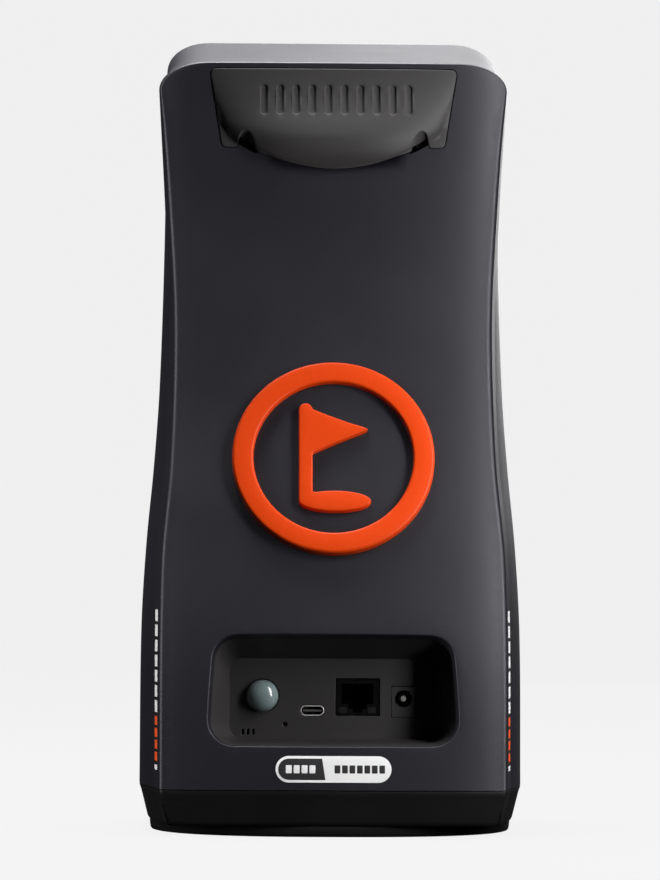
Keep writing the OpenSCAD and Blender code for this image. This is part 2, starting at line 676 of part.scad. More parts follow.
// Outline of a flag on a pole over the cup of a putting green
module flag_outline() {
    hull() {
        translate([-flag_w / 2 + pole_w / 2, flag_h / 2 - pole_w / 2]) circle(d = pole_w, $fn = 32);
        translate([-flag_w / 2 + pole_w / 2, -flag_h / 2 + 5]) circle(d = pole_w, $fn = 32);
    }
    polygon([[-flag_w / 2 + 2, flag_h / 2 - 1.2], [flag_w / 2, flag_h / 2 - 10.5],
        [-flag_w / 2 + 2, flag_h / 2 - 21]]);
    translate([0.5, -flag_h / 2 + 4.2]) scale([1, 0.3]) circle(d = flag_w + 1, $fn = 48);
}

// The sign as a plate from y = 0 to y = t, its outline grown by grow
module flag_shape(t, grow = 0) {
    translate([0, t, 0]) rotate([90, 0, 0]) linear_extrude(t) offset(delta = grow) flag_outline();
}

module emblem_flag() {
    color([0.93, 0.33, 0.09]) on_back(ring_z) translate([0, -ring_rise + 0.6, 0])
        flag_shape(ring_rise - 0.6 + ring_seat - 0.05);
}

label_z = 25.2;
label_w = 42.8;
label_h = 9.8;
module label_pill() {
    color([0.9, 0.9, 0.9]) on_back(label_z)
        upright_plate(label_w, label_h, label_h / 2 - 0.001, -0.05, 0.75);
}

mark_low = 24;                         // heights of the two ends of a side marking
mark_high = 84;
mark_in = 2;                           // distance of the marking from the crease
mark_w = 6.4;                          // width of the marking
// Thin printed strip that follows the slanted side of the back shell; s is -1 left, 1 right
module side_mark(s) {
    heights = [mark_low, for (i = [1:side_steps]) let (z = mix(base_h, corner_z, i / side_steps))
        if (z > mark_low && z < mark_high) z, mark_high];
    rows = [for (z = heights) let (w = crease_x(z) + 0.04, y = part_y(z))
        [for (k = [[mark_in, 0], [mark_in + mark_w, 0], [mark_in + mark_w, 0.3], [mark_in, 0.3]])
            [s * (w - side_draft * k[0] + k[1]), y - k[0], z]]];
    mirror([s < 0 ? 1 : 0, 0, 0]) flat_loft([for (row = rows) [for (p = row) [s * p.x, p.y, p.z]]]);
}

module side_mark_left() {
    color([0.9, 0.4, 0.2]) side_mark(-1);
}

module side_mark_right() {
    color([0.9, 0.4, 0.2]) side_mark(1);
}

// ---- Lens window and display ----

module lens_window() {
    color([0.05, 0.05, 0.07]) on_front() translate([0, 0, window_u])
        upright_plate(window_w, window_h, 10, -glass_t - 0.3, glass_t);
}

module window_gasket() {
    color([0.1, 0.1, 0.1]) on_front() translate([0, 0, window_u]) difference() {
        upright_plate(window_w - 0.4, window_h - 0.4, 9.8, -glass_t - 0.95, 0.6);
        upright_plate(window_w - 5, window_h - 5, 8, -glass_t - 2, 3);
    }
}

module display_glass() {
    color([0.04, 0.04, 0.05]) on_front() translate([0, 0, display_u])
        upright_plate(display_w, display_h, 6, -glass_t + 0.05, glass_t - 0.25);
}

module display_panel() {
    color([0.15, 0.17, 0.2]) on_front() translate([0, 0, display_u])
        upright_plate(display_w - 9, display_h - 9, 2, -glass_t - 4, 3.9);
}

module display_ribbon() {
    color([0.75, 0.5, 0.15]) on_front() translate([0, 0, display_u]) {
        box_at(-9, 9, -glass_t - 4.4, -glass_t - 4.1, -18, 4);
        box_at(-9, 9, -20, -glass_t - 4.1, -18.3, -18);
        box_at(-9, 9, -20.3, -20, -44, -18);
    }
}

camera_spots = [[-39, 62], [39, 62], [0, 146]];   // across and up the front face
led_x = 44.5;                            // side position of the lamp boards
led_count = 7;                         // emitters on each lamp board
led_pitch = 13;                        // distance between emitters
led_low = 83;                          // distance of the lowest emitter up the front face

module at_cameras() {
    on_front() for (p = camera_spots) translate([p.x, 0, p.y]) children();
}

module camera_bracket() {
    color([0.6, 0.6, 0.62]) on_front() difference() {
        translate([0, 0, 100]) upright_plate(104, 132, 6, -28, 1.6);
        for (p = camera_spots) along_y(p.x, p.y, -30, -24, 9, 32);
        for (x = [-22, 22], z = [80, 120]) along_y(x, z, -30, -24, 14, 32);
    }
}

module camera_housings() {
    color([0.1, 0.1, 0.11]) at_cameras() difference() {
        union() {
            translate([-13, -24, -13]) cube([26, 10, 26]);
            along_y(0, 0, -14.1, -9, 21);
        }
        along_y(0, 0, -22, -8, 16.1);
        translate([-11, -25, -11]) cube([22, 2.5, 22]);
    }
}

module camera_lenses() {
    color([0.16, 0.16, 0.17]) at_cameras() difference() {
        along_y(0, 0, -21.5, -5.5, 16);
        along_y(0, 0, -7, -5, 12);
        along_y(0, 0, -22, -6.8, 8);
    }
}

module camera_glass() {
    color([0.15, 0.2, 0.35]) at_cameras() rotate([90, 0, 0]) translate([0, 0, 5.6])
        rotate_extrude($fn = 64) polygon([[0, 0.9], [3, 0.75], [5.9, 0.1], [5.9, 1.3], [0, 1.3]]);
}

module camera_boards() {
    color([0.1, 0.3, 0.18]) at_cameras() translate([-12.5, -26, -12.5]) cube([25, 1.6, 25]);
}

module led_boards() {
    color([0.9, 0.9, 0.9]) on_front() for (s = [-1, 1])
        box_at(s * led_x - 4, s * led_x + 4, -10, -8.4, led_low - 8, led_low + (led_count - 1) * led_pitch + 8);
}

module led_emitters() {
    color([0.3, 0.25, 0.3]) on_front() for (s = [-1, 1], i = [0:led_count - 1])
        translate([s * led_x, -8.38, led_low + i * led_pitch]) rotate([-90, 0, 0])
            rotate_extrude($fn = 32) polygon([[0, 0], [2.9, 0], [2.9, 1], [2.4, 1], [2.4, 2.2],
                [1.9, 3.2], [1, 3.9], [0, 4.1]]);
}

// ---- Frame, boards and battery ----

frame_y = 14;                          // back face of the chassis frame
frame_t = 2;                           // thickness of the chassis frame
frame_holes = [[-56, 268], [56, 268], [-50, 24], [50, 24]];
main_y = 22;                           // back face of the main board
main_holes = [[-38, 128], [38, 128], [-38, 222], [38, 222]];

module chassis_frame() {
    color([0.55, 0.56, 0.58]) difference() {
        union() {
            translate([0, frame_y + frame_t, 0]) rotate([90, 0, 0]) linear_extrude(frame_t) hull() {
                for (s = [-1, 1]) {
                    translate([s * 52, 14]) circle(5, $fn = 32);
                    translate([s * 54, 270]) circle(5, $fn = 32);
                }
            }
            for (p = main_holes) along_y(p.x, p.y, frame_y + frame_t, main_y - 0.02, 6);
            box_at(-52, 52, frame_y - 12, frame_y + 0.1, 9, 11);
        }
        for (p = frame_holes) along_y(p.x, p.y, frame_y - 1, frame_y + 4, 3.3, 32);
        for (p = main_holes) along_y(p.x, p.y, frame_y - 1, main_y + 1, 2.6, 32);
        along_y(cable_x, cable_z, frame_y - 1, frame_y + 4, 4, 32);
        for (x = [-30, 0, 30]) along_y(x, 246, frame_y - 1, frame_y + 4, 18);
        for (x = [-25, 25]) along_y(x, 60, frame_y - 1, frame_y + 4, 22);
    }
}

module chassis_screws() {
    color([0.7, 0.7, 0.72]) for (p = frame_holes) if (p.y > 100) {
        along_y(p.x, p.y, frame_y - 2.1, frame_y - 0.1, 5.6);
        along_y(p.x, p.y, frame_y - 0.2, frame_y + 5.5, 2.9);
    }
}

module main_board() {
    color([0.08, 0.28, 0.16]) difference() {
        box_at(-44, 44, main_y, main_y + board_t, 120, 230);
        for (p = main_holes) along_y(p.x, p.y, main_y - 1, main_y + 3, 3.2, 32);
    }
}

module board_screws() {
    color([0.7, 0.7, 0.72]) for (p = main_holes) {
        along_y(p.x, p.y, main_y + board_t + 0.05, main_y + board_t + 1.8, 5);
        along_y(p.x, p.y, main_y - 5, main_y + board_t + 0.1, 2.4);
    }
}

module shield_cans() {
    color([0.7, 0.7, 0.72]) {
        box_at(-36, -12, main_y + board_t + 0.02, main_y + board_t + 2.6, 186, 212);
        box_at(10, 38, main_y + board_t + 0.02, main_y + board_t + 2.6, 190, 214);
    }
}

module heat_sink() {
    color([0.3, 0.31, 0.33]) {
        box_at(-20, 20, main_y - 3, main_y - 0.02, 150, 190);
        for (i = [0:4]) box_at(-20 + i * 9.7, -18.8 + i * 9.7, main_y - 5.6, main_y - 2.9, 150, 190);
    }
}

module antennas() {
    color([0.75, 0.55, 0.2]) for (s = [-1, 1])
        box_at(s * 55 - 0.4, s * 55 + 0.4, 22, 34, 225, 258);
}

cable_x = 30;                          // side position of the battery cable
cable_y = 6;                           // depth position of its upright run
cable_d = 2.2;                         // thickness of the battery cable
cable_z = 178.5;                       // height where it passes through the chassis frame
pack_x = 37;                           // half width of the battery pack
pack_y0 = -26;
pack_y1 = 8;
pack_z0 = 84;
pack_z1 = 156;

module battery_tray() {
    color([0.14, 0.14, 0.15]) difference() {
        box_at(-pack_x - 2.2, pack_x + 2.2, pack_y0 + 8, frame_y - 0.1, pack_z0 - 2.2, pack_z0 + 20);
        box_at(-pack_x - 0.2, pack_x + 0.2, pack_y0 - 1, pack_y1 + 0.2, pack_z0 - 0.1, pack_z0 + 30);
    }
}

module battery_pack() {
    color([0.2, 0.35, 0.6]) for (i = [-1.5:1:1.5]) translate([i * 18.5, -9, pack_z0]) {
        cylinder(h = 70, d = 18.3, $fn = 48);
        translate([0, 0, 69.9]) cylinder(h = 1.2, d = 6, $fn = 32);
    }
}

module battery_strap() {
    color([0.15, 0.15, 0.15]) difference() {
        box_at(-pack_x - 0.9, pack_x + 0.9, -19.6, 1.6, 122, 134);
        box_at(-pack_x - 0.1, pack_x + 0.1, -18.7, 0.7, 121, 135);
    }
}

module battery_cable() {
    color([0.7, 0.1, 0.1]) {
        along_y(cable_x, pack_z1 + 1, -7, cable_y, cable_d, 24);
        translate([cable_x, cable_y, pack_z1 + 1]) sphere(d = cable_d, $fn = 24);
        translate([cable_x, cable_y, pack_z1 + 1]) cylinder(h = cable_z - pack_z1 - 1, d = cable_d, $fn = 24);
        translate([cable_x, cable_y, cable_z]) sphere(d = cable_d, $fn = 24);
        along_y(cable_x, cable_z, cable_y, main_y - 0.1, cable_d, 24);
    }
}

module base_screws() {
    color([0.7, 0.7, 0.72]) for (p = screw_posts) translate([p.x, p.y, 0]) {
        translate([0, 0, foot_h + 0.05]) cylinder(h = 1.7, d = 6, $fn = 32);
        translate([0, 0, foot_h + 1]) cylinder(h = 22, d = 2.9, $fn = 32);
    }
}

rear_shell();
front_shell();
base_tray();
base_gasket();
foot_pad();
grip();
grip_screws();
port_bay();
port_panel();
power_button();
button_light_guide();
power_switch();
switch_plunger();
reset_switch();
reset_plunger();
buzzer();
io_board();
usb_shell();
usb_tongue();
ethernet_housing();
ethernet_shield();
ethernet_contacts();
ethernet_light_pipes();
dc_jack_body();
dc_jack_pin();
dc_jack_contact();
emblem_ring();
emblem_flag();
label_pill();
side_mark_left();
side_mark_right();
lens_window();
window_gasket();
display_glass();
display_panel();
display_ribbon();
camera_bracket();
camera_housings();
camera_lenses();
camera_glass();
camera_boards();
led_boards();
led_emitters();
chassis_frame();
main_board();
shield_cans();
heat_sink();
antennas();
battery_tray();
battery_pack();
battery_strap();
battery_cable();
chassis_screws();
board_screws();
base_screws();
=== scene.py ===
import json
import math

import bmesh
import bpy
from mathutils import Matrix, Vector
from mathutils.geometry import delaunay_2d_cdt


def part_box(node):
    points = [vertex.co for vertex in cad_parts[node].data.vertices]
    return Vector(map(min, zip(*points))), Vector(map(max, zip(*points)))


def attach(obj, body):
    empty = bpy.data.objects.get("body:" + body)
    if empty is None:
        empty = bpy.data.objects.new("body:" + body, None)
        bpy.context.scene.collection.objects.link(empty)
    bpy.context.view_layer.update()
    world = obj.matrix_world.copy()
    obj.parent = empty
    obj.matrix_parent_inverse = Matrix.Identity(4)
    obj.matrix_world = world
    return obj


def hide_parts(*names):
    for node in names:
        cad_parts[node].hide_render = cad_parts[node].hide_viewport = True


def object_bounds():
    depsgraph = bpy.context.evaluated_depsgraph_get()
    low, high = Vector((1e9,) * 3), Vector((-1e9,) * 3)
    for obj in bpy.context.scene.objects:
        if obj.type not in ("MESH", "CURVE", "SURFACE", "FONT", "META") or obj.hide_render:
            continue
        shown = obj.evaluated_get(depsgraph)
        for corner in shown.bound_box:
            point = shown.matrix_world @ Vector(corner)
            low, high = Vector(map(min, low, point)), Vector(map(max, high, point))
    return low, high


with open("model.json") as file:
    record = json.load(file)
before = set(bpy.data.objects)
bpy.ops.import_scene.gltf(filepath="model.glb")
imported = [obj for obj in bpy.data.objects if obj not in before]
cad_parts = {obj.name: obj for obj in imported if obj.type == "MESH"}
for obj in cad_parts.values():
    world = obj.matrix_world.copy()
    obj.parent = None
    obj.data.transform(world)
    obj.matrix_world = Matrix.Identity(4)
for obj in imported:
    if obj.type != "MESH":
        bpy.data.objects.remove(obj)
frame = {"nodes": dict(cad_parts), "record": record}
cad_bounds = [list(corner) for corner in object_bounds()]
MM = 0.001
NODES = frame["nodes"]

# ---------------------------------------------------------------- dimensions, from the frame


def box_mm(node):
    low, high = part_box(node)
    return Vector(low) / MM, Vector(high) / MM


body_high = Vector(cad_bounds[1]) / MM
CASE_H = body_high.z
HALF_D = body_high.y
HALF_W = body_high.x
BASE_H = box_mm("rear_shell")[0].z
FOOT_H = box_mm("base_tray")[0].z
WALL = 2.6
SEAM = 0.12                     # visible gap where two shells meet
BACK_TOP_Z = 291.5
BACK_TOP_Y = -11.0
FRONT_TOP_Y = 47.0
BACK_BOW = 1.2
EDGE_FALL = 3.0
CREASE_HALF = 66.0
CORNER_W = 19.0
CORNER_H = 10.5
CORNER_Z = BACK_TOP_Z - CORNER_H
TOP_HALF = 66.6
SIDE_DRAFT = math.tan(math.radians(8.5))
TOP_SLOPE = (CASE_H - BACK_TOP_Z) / (FRONT_TOP_Y - BACK_TOP_Y)
TOP_BLEND_Z = 255.0
FRONT_ROUND = 8.0
TOP_ROUND = 2.5
BASE_TAPER = math.tan(math.radians(14))

# Profiles as [height, value] stations, joined smoothly by curve()
BACK_LINE = [[BASE_H, -HALF_D], [65, -56.7], [115, -41.9], [175, -22.7],
             [235, -10.4], [262, -8.7], [BACK_TOP_Z, BACK_TOP_Y]]
CREASE_LINE = [[BASE_H, 66.4], [100, 66.3], [140, 63.2], [190, 62.2], [236, 64.1], [281, 66.6]]
SIDE_LINE = [[BASE_H, HALF_W], [75, 72.2], [106, 70.6], [136, 67.9], [167, 65.9],
             [228, 64.3], [281, 64]]
EDGE_DEPTH = [[BASE_H, 14], [200, 13], [265, 7], [BACK_TOP_Z, 3]]
EDGE_ROUND = [[BASE_H, 1.8], [200, 2.4], [265, 1.8], [BACK_TOP_Z, 0.6]]


def curve(stations, p):
    """Smooth value at p through [position, value] stations."""
    i = 0
    while i < len(stations) - 2 and p >= stations[i + 1][0]:
        i += 1

    def rate(k):
        lo, hi = max(0, k - 1), min(len(stations) - 1, k + 1)
        return (stations[hi][1] - stations[lo][1]) / (stations[hi][0] - stations[lo][0])

    (p0, v0), (p1, v1) = stations[i], stations[i + 1]
    h = p1 - p0
    t = (p - p0) / h
    return ((1 + 2 * t) * (1 - t) ** 2 * v0 + t * (1 - t) ** 2 * h * rate(i)
            + t * t * (3 - 2 * t) * v1 + t * t * (t - 1) * h * rate(i + 1))


def mix(a, b, t):
    return a + (b - a) * t


def clamp01(t):
    return min(1.0, max(0.0, t))


def smooth01(t):
    t = clamp01(t)
    return t * t * (3 - 2 * t)


def back_y(x, z):
    return curve(BACK_LINE, z) + BACK_BOW * (x / CREASE_HALF) ** 2 + EDGE_FALL * (x / CREASE_HALF) ** 6


def back_frame(z, x=0.0):
    """Origin on the back face and a rotation whose -Y stands straight out of it."""
    tilt = math.atan((back_y(x, z + 1) - back_y(x, z - 1)) / 2)
    return Matrix.Translation((x, back_y(x, z), z)) @ Matrix.Rotation(-tilt, 4, "X")


def front_y(z):
    return mix(HALF_D, FRONT_TOP_Y, (z - BASE_H) / (CASE_H - BASE_H))


LEAN = math.atan((HALF_D - FRONT_TOP_Y) / (CASE_H - BASE_H))
FRONT_FRAME = Matrix.Translation((0, HALF_D, BASE_H)) @ Matrix.Rotation(LEAN, 4, "X")

# ---------------------------------------------------------------- mesh helpers

MERGE_DIST = 1e-7               # metres
CROWDING = 0.62                 # share of the spacing that inner points keep from an outline

class Builder:
    """Collects points and faces of one piece."""

    def __init__(self):
        self.points = []
        self.faces = []

    def add(self, pts):
        start = len(self.points)
        self.points.extend(tuple(p) for p in pts)
        return list(range(start, start + len(pts)))

    def grid(self, rows, closed=False):
        """Quads between successive rows of points; closed joins each row's end to its start."""
        return self.join([self.add(row) for row in rows], closed)

    def join(self, ids, closed=False):
        """The same between rows of points already added."""
        for a, b in zip(ids, ids[1:]):
            n = len(a)
            for i in range(n if closed else n - 1):
                j = (i + 1) % n
                self.faces.append((a[i], a[j], b[j], b[i]))
        return ids

    def fill(self, loop, centre):
        """Fan from a loop of point indices to a centre point."""
        c = self.add([centre])[0]
        n = len(loop)
        for i in range(n):
            self.faces.append((loop[i], loop[(i + 1) % n], c))

    def make(self, name):
        mesh = bpy.data.meshes.new(name)
        mesh.from_pydata([(x * MM, y * MM, z * MM) for x, y, z in self.points], [], self.faces)
        mesh.validate()
        piece = bpy.data.objects.new(name, mesh)
        bpy.context.scene.collection.objects.link(piece)
        bm = bmesh.new()
        bm.from_mesh(mesh)
        bmesh.ops.remove_doubles(bm, verts=bm.verts, dist=MERGE_DIST)
        bmesh.ops.recalc_face_normals(bm, faces=bm.faces)
        bm.to_mesh(mesh)
        bm.free()
        mesh.shade_smooth()
        return piece


def inside_loop(p, loop):
    x, y = p
    hit = False
    for (x0, y0), (x1, y1) in zip(loop, loop[1:] + loop[:1]):
        if (y0 > y) != (y1 > y) and x < x0 + (y - y0) * (x1 - x0) / (y1 - y0):
            hit = not hit
    return hit


def add_patch(builder, outer, holes, step, lift):
    """Triangulated region between 2-D loops, with inner points every step; lift maps (u, v) to 3-D.
    Returns, for each loop, the indices of its points."""
    coords, edges, loops_ids = [], [], []
    for loop in [outer] + holes:
        start = len(coords)
        ids = list(range(start, start + len(loop)))
        coords.extend(loop)
        edges.extend((ids[i], ids[(i + 1) % len(ids)]) for i in range(len(ids)))
        loops_ids.append(ids)
    lo_u, hi_u = min(p[0] for p in outer), max(p[0] for p in outer)
    lo_v, hi_v = min(p[1] for p in outer), max(p[1] for p in outer)
    rim = [p for loop in [outer] + holes for p in loop]
    cells = {}
    for a, b in rim:
        cells.setdefault((int(a // step), int(b // step)), []).append((a, b))

    def crowded(u, v):
        cu, cv = int(u // step), int(v // step)
        return any((u - a) ** 2 + (v - b) ** 2 < (CROWDING * step) ** 2
                   for i in (-1, 0, 1) for j in (-1, 0, 1) for a, b in cells.get((cu + i, cv + j), ()))

    rows = max(1, round((hi_v - lo_v) / (step * 0.87)))
    for j in range(rows + 1):
        v = mix(lo_v, hi_v, j / rows)
        shift = step / 2 if j % 2 else 0
        n = int((hi_u - lo_u) / step) + 1
        for i in range(n + 1):
            u = (lo_u + hi_u) / 2 + (i - n / 2) * step + shift
            if not inside_loop((u, v), outer) or any(inside_loop((u, v), h) for h in holes):
                continue
            if not crowded(u, v):
                coords.append((u, v))
    verts, _, tris, origin, _, _ = delaunay_2d_cdt([Vector(c) for c in coords], edges, [], 0, 1e-6)
    first = {}
    for k, sources in enumerate(origin):
        for s in sources:
            first[s] = k
    ids = builder.add([lift(v.x, v.y) for v in verts])
    for tri in tris:
        c = sum((verts[i] for i in tri), Vector((0, 0))) / 3
        if inside_loop(c, outer) and not any(inside_loop(c, h) for h in holes):
            builder.faces.append(tuple(ids[i] for i in tri))
    return [[ids[first[i]] for i in loop] for loop in loops_ids]


def rounded_rect(w, h, r, steps=8, centre=(0, 0), side_step=None):
    """Loop of 2-D points, counter-clockwise, with extra points along the sides if side_step is set."""
    pts = []
    for cx, cy, a0 in [(w / 2 - r, h / 2 - r, 0), (r - w / 2, h / 2 - r, 90),
                       (r - w / 2, r - h / 2, 180), (w / 2 - r, r - h / 2, 270)]:
        for i in range(steps + 1):
            a = math.radians(a0 + 90 * i / steps)
            pts.append((centre[0] + cx + r * math.cos(a), centre[1] + cy + r * math.sin(a)))
    return refine(pts, side_step) if side_step else pts


def refine(loop, step):
    """Splits the long sides of a closed 2-D loop so that none is longer than step."""
    out = []
    for (x0, y0), (x1, y1) in zip(loop, loop[1:] + loop[:1]):
        n = max(1, math.ceil(math.hypot(x1 - x0, y1 - y0) / step - 1e-6))
        out.extend((mix(x0, x1, i / n), mix(y0, y1, i / n)) for i in range(n))
    return out


def loop_normals(loop):
    """Outward unit normals of a counter-clockwise closed 2-D loop."""
    out = []
    n = len(loop)
    for i in range(n):
        (ax, ay), (bx, by) = loop[i - 1], loop[(i + 1) % n]
        length = math.hypot(bx - ax, by - ay) or 1
        out.append(((by - ay) / length, (ax - bx) / length))
    return out


def offset_loop(loop, d):
    return [(x + nx * d, y + ny * d) for (x, y), (nx, ny) in zip(loop, loop_normals(loop))]


def bezier3(a, b, c, t):
    return [(1 - t) ** 2 * p + 2 * t * (1 - t) * q + t * t * r for p, q, r in zip(a, b, c)]


def smooth_by_angle(piece, angle):
    """Sharp edges where faces meet at more than angle degrees, smooth shading elsewhere."""
    piece.data.set_sharp_from_angle(angle=math.radians(angle))


REPLACED = set()


def finish_piece(piece, material, nodes=(), body="case"):
    """Rides the body, stands for the CAD nodes and takes its material."""
    piece.data.materials.clear()
    piece.data.materials.append(material)
    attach(piece, body)
    if nodes:
        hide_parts(*nodes)
        REPLACED.update(nodes)


def join_pieces(name, pieces):
    """One object from several, each with the material it already has."""
    bpy.ops.object.select_all(action="DESELECT")
    for p in pieces:
        p.select_set(True)
    bpy.context.view_layer.objects.active = pieces[0]
    bpy.ops.object.join()
    pieces[0].name = name

# ---------------------------------------------------------------- camera, stage and light

FLOOR_GLOW = 0.865              # the floor's own light, which sets the pale backdrop
WORLD_LIGHT = 0.01


def set_inputs(node, values):
    for socket, value in values.items():
        node.inputs[socket].default_value = value


def look_at(thing, target):
    direction = Vector(target) - thing.location
    thing.rotation_euler = direction.to_track_quat("-Z", "Y").to_euler()


def add_camera():
    data = bpy.data.cameras.new("camera")
    data.lens = 192.6
    data.sensor_width = 36
    data.clip_start = 0.05
    camera = bpy.data.objects.new("camera", data)
    bpy.context.scene.collection.objects.link(camera)
    camera.location = (-0.042, -1.8, 0.110)
    look_at(camera, (-0.0005, 0, 0.148))
    camera.rotation_euler.rotate_axis("Z", math.radians(0.3))
    bpy.context.scene.camera = camera


def area_light(name, place, target, size, power, height=None):
    data = bpy.data.lights.new(name, "AREA")
    data.shape = "RECTANGLE"
    data.size = size
    data.size_y = height or size
    data.energy = power
    light = bpy.data.objects.new(name, data)
    bpy.context.scene.collection.objects.link(light)
    light.location = place
    look_at(light, target)


def add_lights():
    middle = (0, 0, 0.15)
    area_light("key_strip", (0.25, -0.235, 0.23), (0, -0.03, 0.16), 0.07, 1.6, height=0.38)
    area_light("high_right", (1.1, -0.5, 1.0), middle, 0.4, 3)
    area_light("left_strip", (-0.88, -0.42, 0.28), middle, 0.14, 8, height=0.9)
    area_light("top", (-0.1, 0.24, 1.2), (0, 0.1, 0.3), 0.7, 34)
    area_light("front_fill", (0.5, 1.7, 0.7), middle, 0.9, 12)
    world = bpy.data.worlds.new("studio")
    bpy.context.scene.world = world
    world.use_nodes = True
    set_inputs(world.node_tree.nodes["Background"], {"Color": (1, 1, 1, 1), "Strength": WORLD_LIGHT})


def spare_from(light, pieces):
    """Keeps a light off the given pieces, as a flag in front of the lamp would."""
    kept_dark = bpy.data.collections.new(light.name + "_flagged")
    for piece in pieces:
        kept_dark.objects.link(piece)
    light.light_linking.receiver_collection = kept_dark
    for entry in kept_dark.collection_objects:
        entry.light_linking.link_state = "EXCLUDE"


def add_stage():
    """Pale floor with a soft contact shadow, curving up into a backdrop all round."""
    profile = [(20, 0), (300, 0), (800, 0), (2200, 0), (2900, 50), (3500, 300), (3900, 900), (4000, 2000),
               (4000, 4000)]
    turns = [2 * math.pi * i / 64 for i in range(64)]
    rows = [[(r * math.cos(a), r * math.sin(a), z) for a in turns] for r, z in profile]
    build = Builder()
    ids = build.grid(rows, closed=True)
    build.fill(ids[0], (0, 0, 0))
    floor = build.make("stage_floor")
    mat = bpy.data.materials.new("pale_floor")
    mat.use_nodes = True
    shader = mat.node_tree.nodes["Principled BSDF"]
    set_inputs(shader, {"Base Color": (0.015, 0.015, 0.015, 1), "Roughness": 1, "Specular IOR Level": 0,
                        "Emission Color": (1, 1, 1, 1), "Emission Strength": FLOOR_GLOW})
    floor.data.materials.append(mat)
    floor.visible_diffuse = False
    floor.visible_glossy = False


bpy.context.scene.view_settings.view_transform = "Standard"
add_camera()
add_stage()
add_lights()

# ---------------------------------------------------------------- materials


def plastic(name, colour, roughness, grain=1100, depth=0.02, tint=0.05, spread=0.05, coat=0,
            metallic=0, stretch=(1, 1, 1), mottle=28, sheen=0, subsurface=0, specular=0.5,
            transmission=0, specular_tint=(1, 1, 1)):
    """Node material: fine moulded or brushed grain in the bump, broad drift in colour and roughness."""
    mat = bpy.data.materials.new(name)
    mat.use_nodes = True
    nodes, links = mat.node_tree.nodes, mat.node_tree.links
    shader = nodes["Principled BSDF"]
    place = nodes.new("ShaderNodeTexCoord")
    scale = nodes.new("ShaderNodeMapping")
    set_inputs(scale, {"Scale": stretch})
    links.new(place.outputs["Object"], scale.inputs["Vector"])
    fine = nodes.new("ShaderNodeTexNoise")
    set_inputs(fine, {"Scale": grain, "Detail": 3, "Roughness": 0.55})
    links.new(scale.outputs["Vector"], fine.inputs["Vector"])
    broad = nodes.new("ShaderNodeTexNoise")
    set_inputs(broad, {"Scale": mottle, "Detail": 5})
    links.new(place.outputs["Object"], broad.inputs["Vector"])

    bump = nodes.new("ShaderNodeBump")
    set_inputs(bump, {"Strength": 1, "Distance": depth * MM})
    links.new(fine.outputs["Fac"], bump.inputs["Height"])
    links.new(bump.outputs["Normal"], shader.inputs["Normal"])

    both = nodes.new("ShaderNodeMix")
    both.inputs["Factor"].default_value = 0.5
    links.new(fine.outputs["Fac"], both.inputs["A"])
    links.new(broad.outputs["Fac"], both.inputs["B"])
    ramp = nodes.new("ShaderNodeValToRGB")
    for stop, position, change in zip(ramp.color_ramp.elements, (0.32, 0.68), (1 - tint, 1 + tint)):
        stop.position = position
        stop.color = tuple(min(1, c * change) for c in colour) + (1,)
    links.new(both.outputs["Result"], ramp.inputs["Fac"])
    links.new(ramp.outputs["Color"], shader.inputs["Base Color"])

    rough = nodes.new("ShaderNodeMapRange")
    set_inputs(rough, {"From Min": 0.3, "From Max": 0.7,
                       "To Min": max(0.02, roughness - spread), "To Max": min(1, roughness + spread)})
    links.new(both.outputs["Result"], rough.inputs["Value"])
    links.new(rough.outputs["Result"], shader.inputs["Roughness"])

    set_inputs(shader, {
        "Metallic": metallic, "Specular IOR Level": specular, "Specular Tint": specular_tint + (1,),
        "Coat Weight": coat, "Coat Roughness": 0.1, "Sheen Weight": sheen, "IOR": 1.5,
        "Subsurface Weight": subsurface, "Subsurface Radius": (0.004, 0.004, 0.004),
        "Transmission Weight": transmission})
    return mat


SHELL = plastic("shell_plastic", (0.0068, 0.0065, 0.0098), 0.47, grain=1300, depth=0.03, tint=0.08,
                specular_tint=(0.95, 0.93, 1.0))
BASE_BLACK = plastic("base_plastic", (0.006, 0.006, 0.0065), 0.42, grain=900, depth=0.012)
FOOT_RUBBER = plastic("foot_rubber", (0.005, 0.005, 0.0052), 0.7, grain=700, depth=0.03, specular=0.15)
GRIP_SOFT = plastic("grip_soft_touch", (0.0285, 0.0262, 0.0268), 0.62, grain=1600, depth=0.02, sheen=0.12)
BAY_PLASTIC = plastic("bay_plastic", (0.024, 0.0215, 0.0218), 0.55, grain=1500, depth=0.025, tint=0.08)
SATIN_ORANGE = plastic("satin_orange", (0.72, 0.054, 0.002), 0.42, grain=600, depth=0.008, tint=0.04,
                       specular=0.2)
PEARL = plastic("pearl_button", (0.185, 0.24, 0.245), 0.2, grain=500, depth=0.004, coat=0.6, subsurface=0.25,
                tint=0.1, mottle=160)
# Painted shade: near-black colour for the walls deep in small holes, standing in for the shadow inside them
PAINTED_HOLE_SHADE = plastic("painted_hole_shade", (0.002, 0.002, 0.002), 0.8, grain=900, depth=0.01, specular=0.1)
PRINT_WHITE = plastic("printed_white", (0.86, 0.86, 0.86), 0.5, grain=1800, depth=0.006, tint=0.03)
PRINT_DARK = plastic("printed_dark", (0.02, 0.02, 0.022), 0.5, grain=1800, depth=0.006)
PRINT_ORANGE = plastic("printed_orange", (0.85, 0.09, 0.01), 0.5, grain=1800, depth=0.006)
BLACK_STEEL = plastic("blackened_steel", (0.02, 0.02, 0.021), 0.4, grain=700, depth=0.01, metallic=0.6)
BRIGHT_STEEL = plastic("bright_steel", (0.62, 0.61, 0.6), 0.4, grain=500, depth=0.01, metallic=0.35,
                       stretch=(1, 8, 1))

# ---------------------------------------------------------------- case shells

CREASE_STEP = 3.0               # spacing of mesh rows up the sides
FACE_STEP = 2.7                 # spacing of points across the back face
BAY_LIP = 0.5                   # radius of the bay's mouth
LIP_HALF = 29.7                 # half width of the grip's lip, between the notches
NOTCH_TOP = 265.3


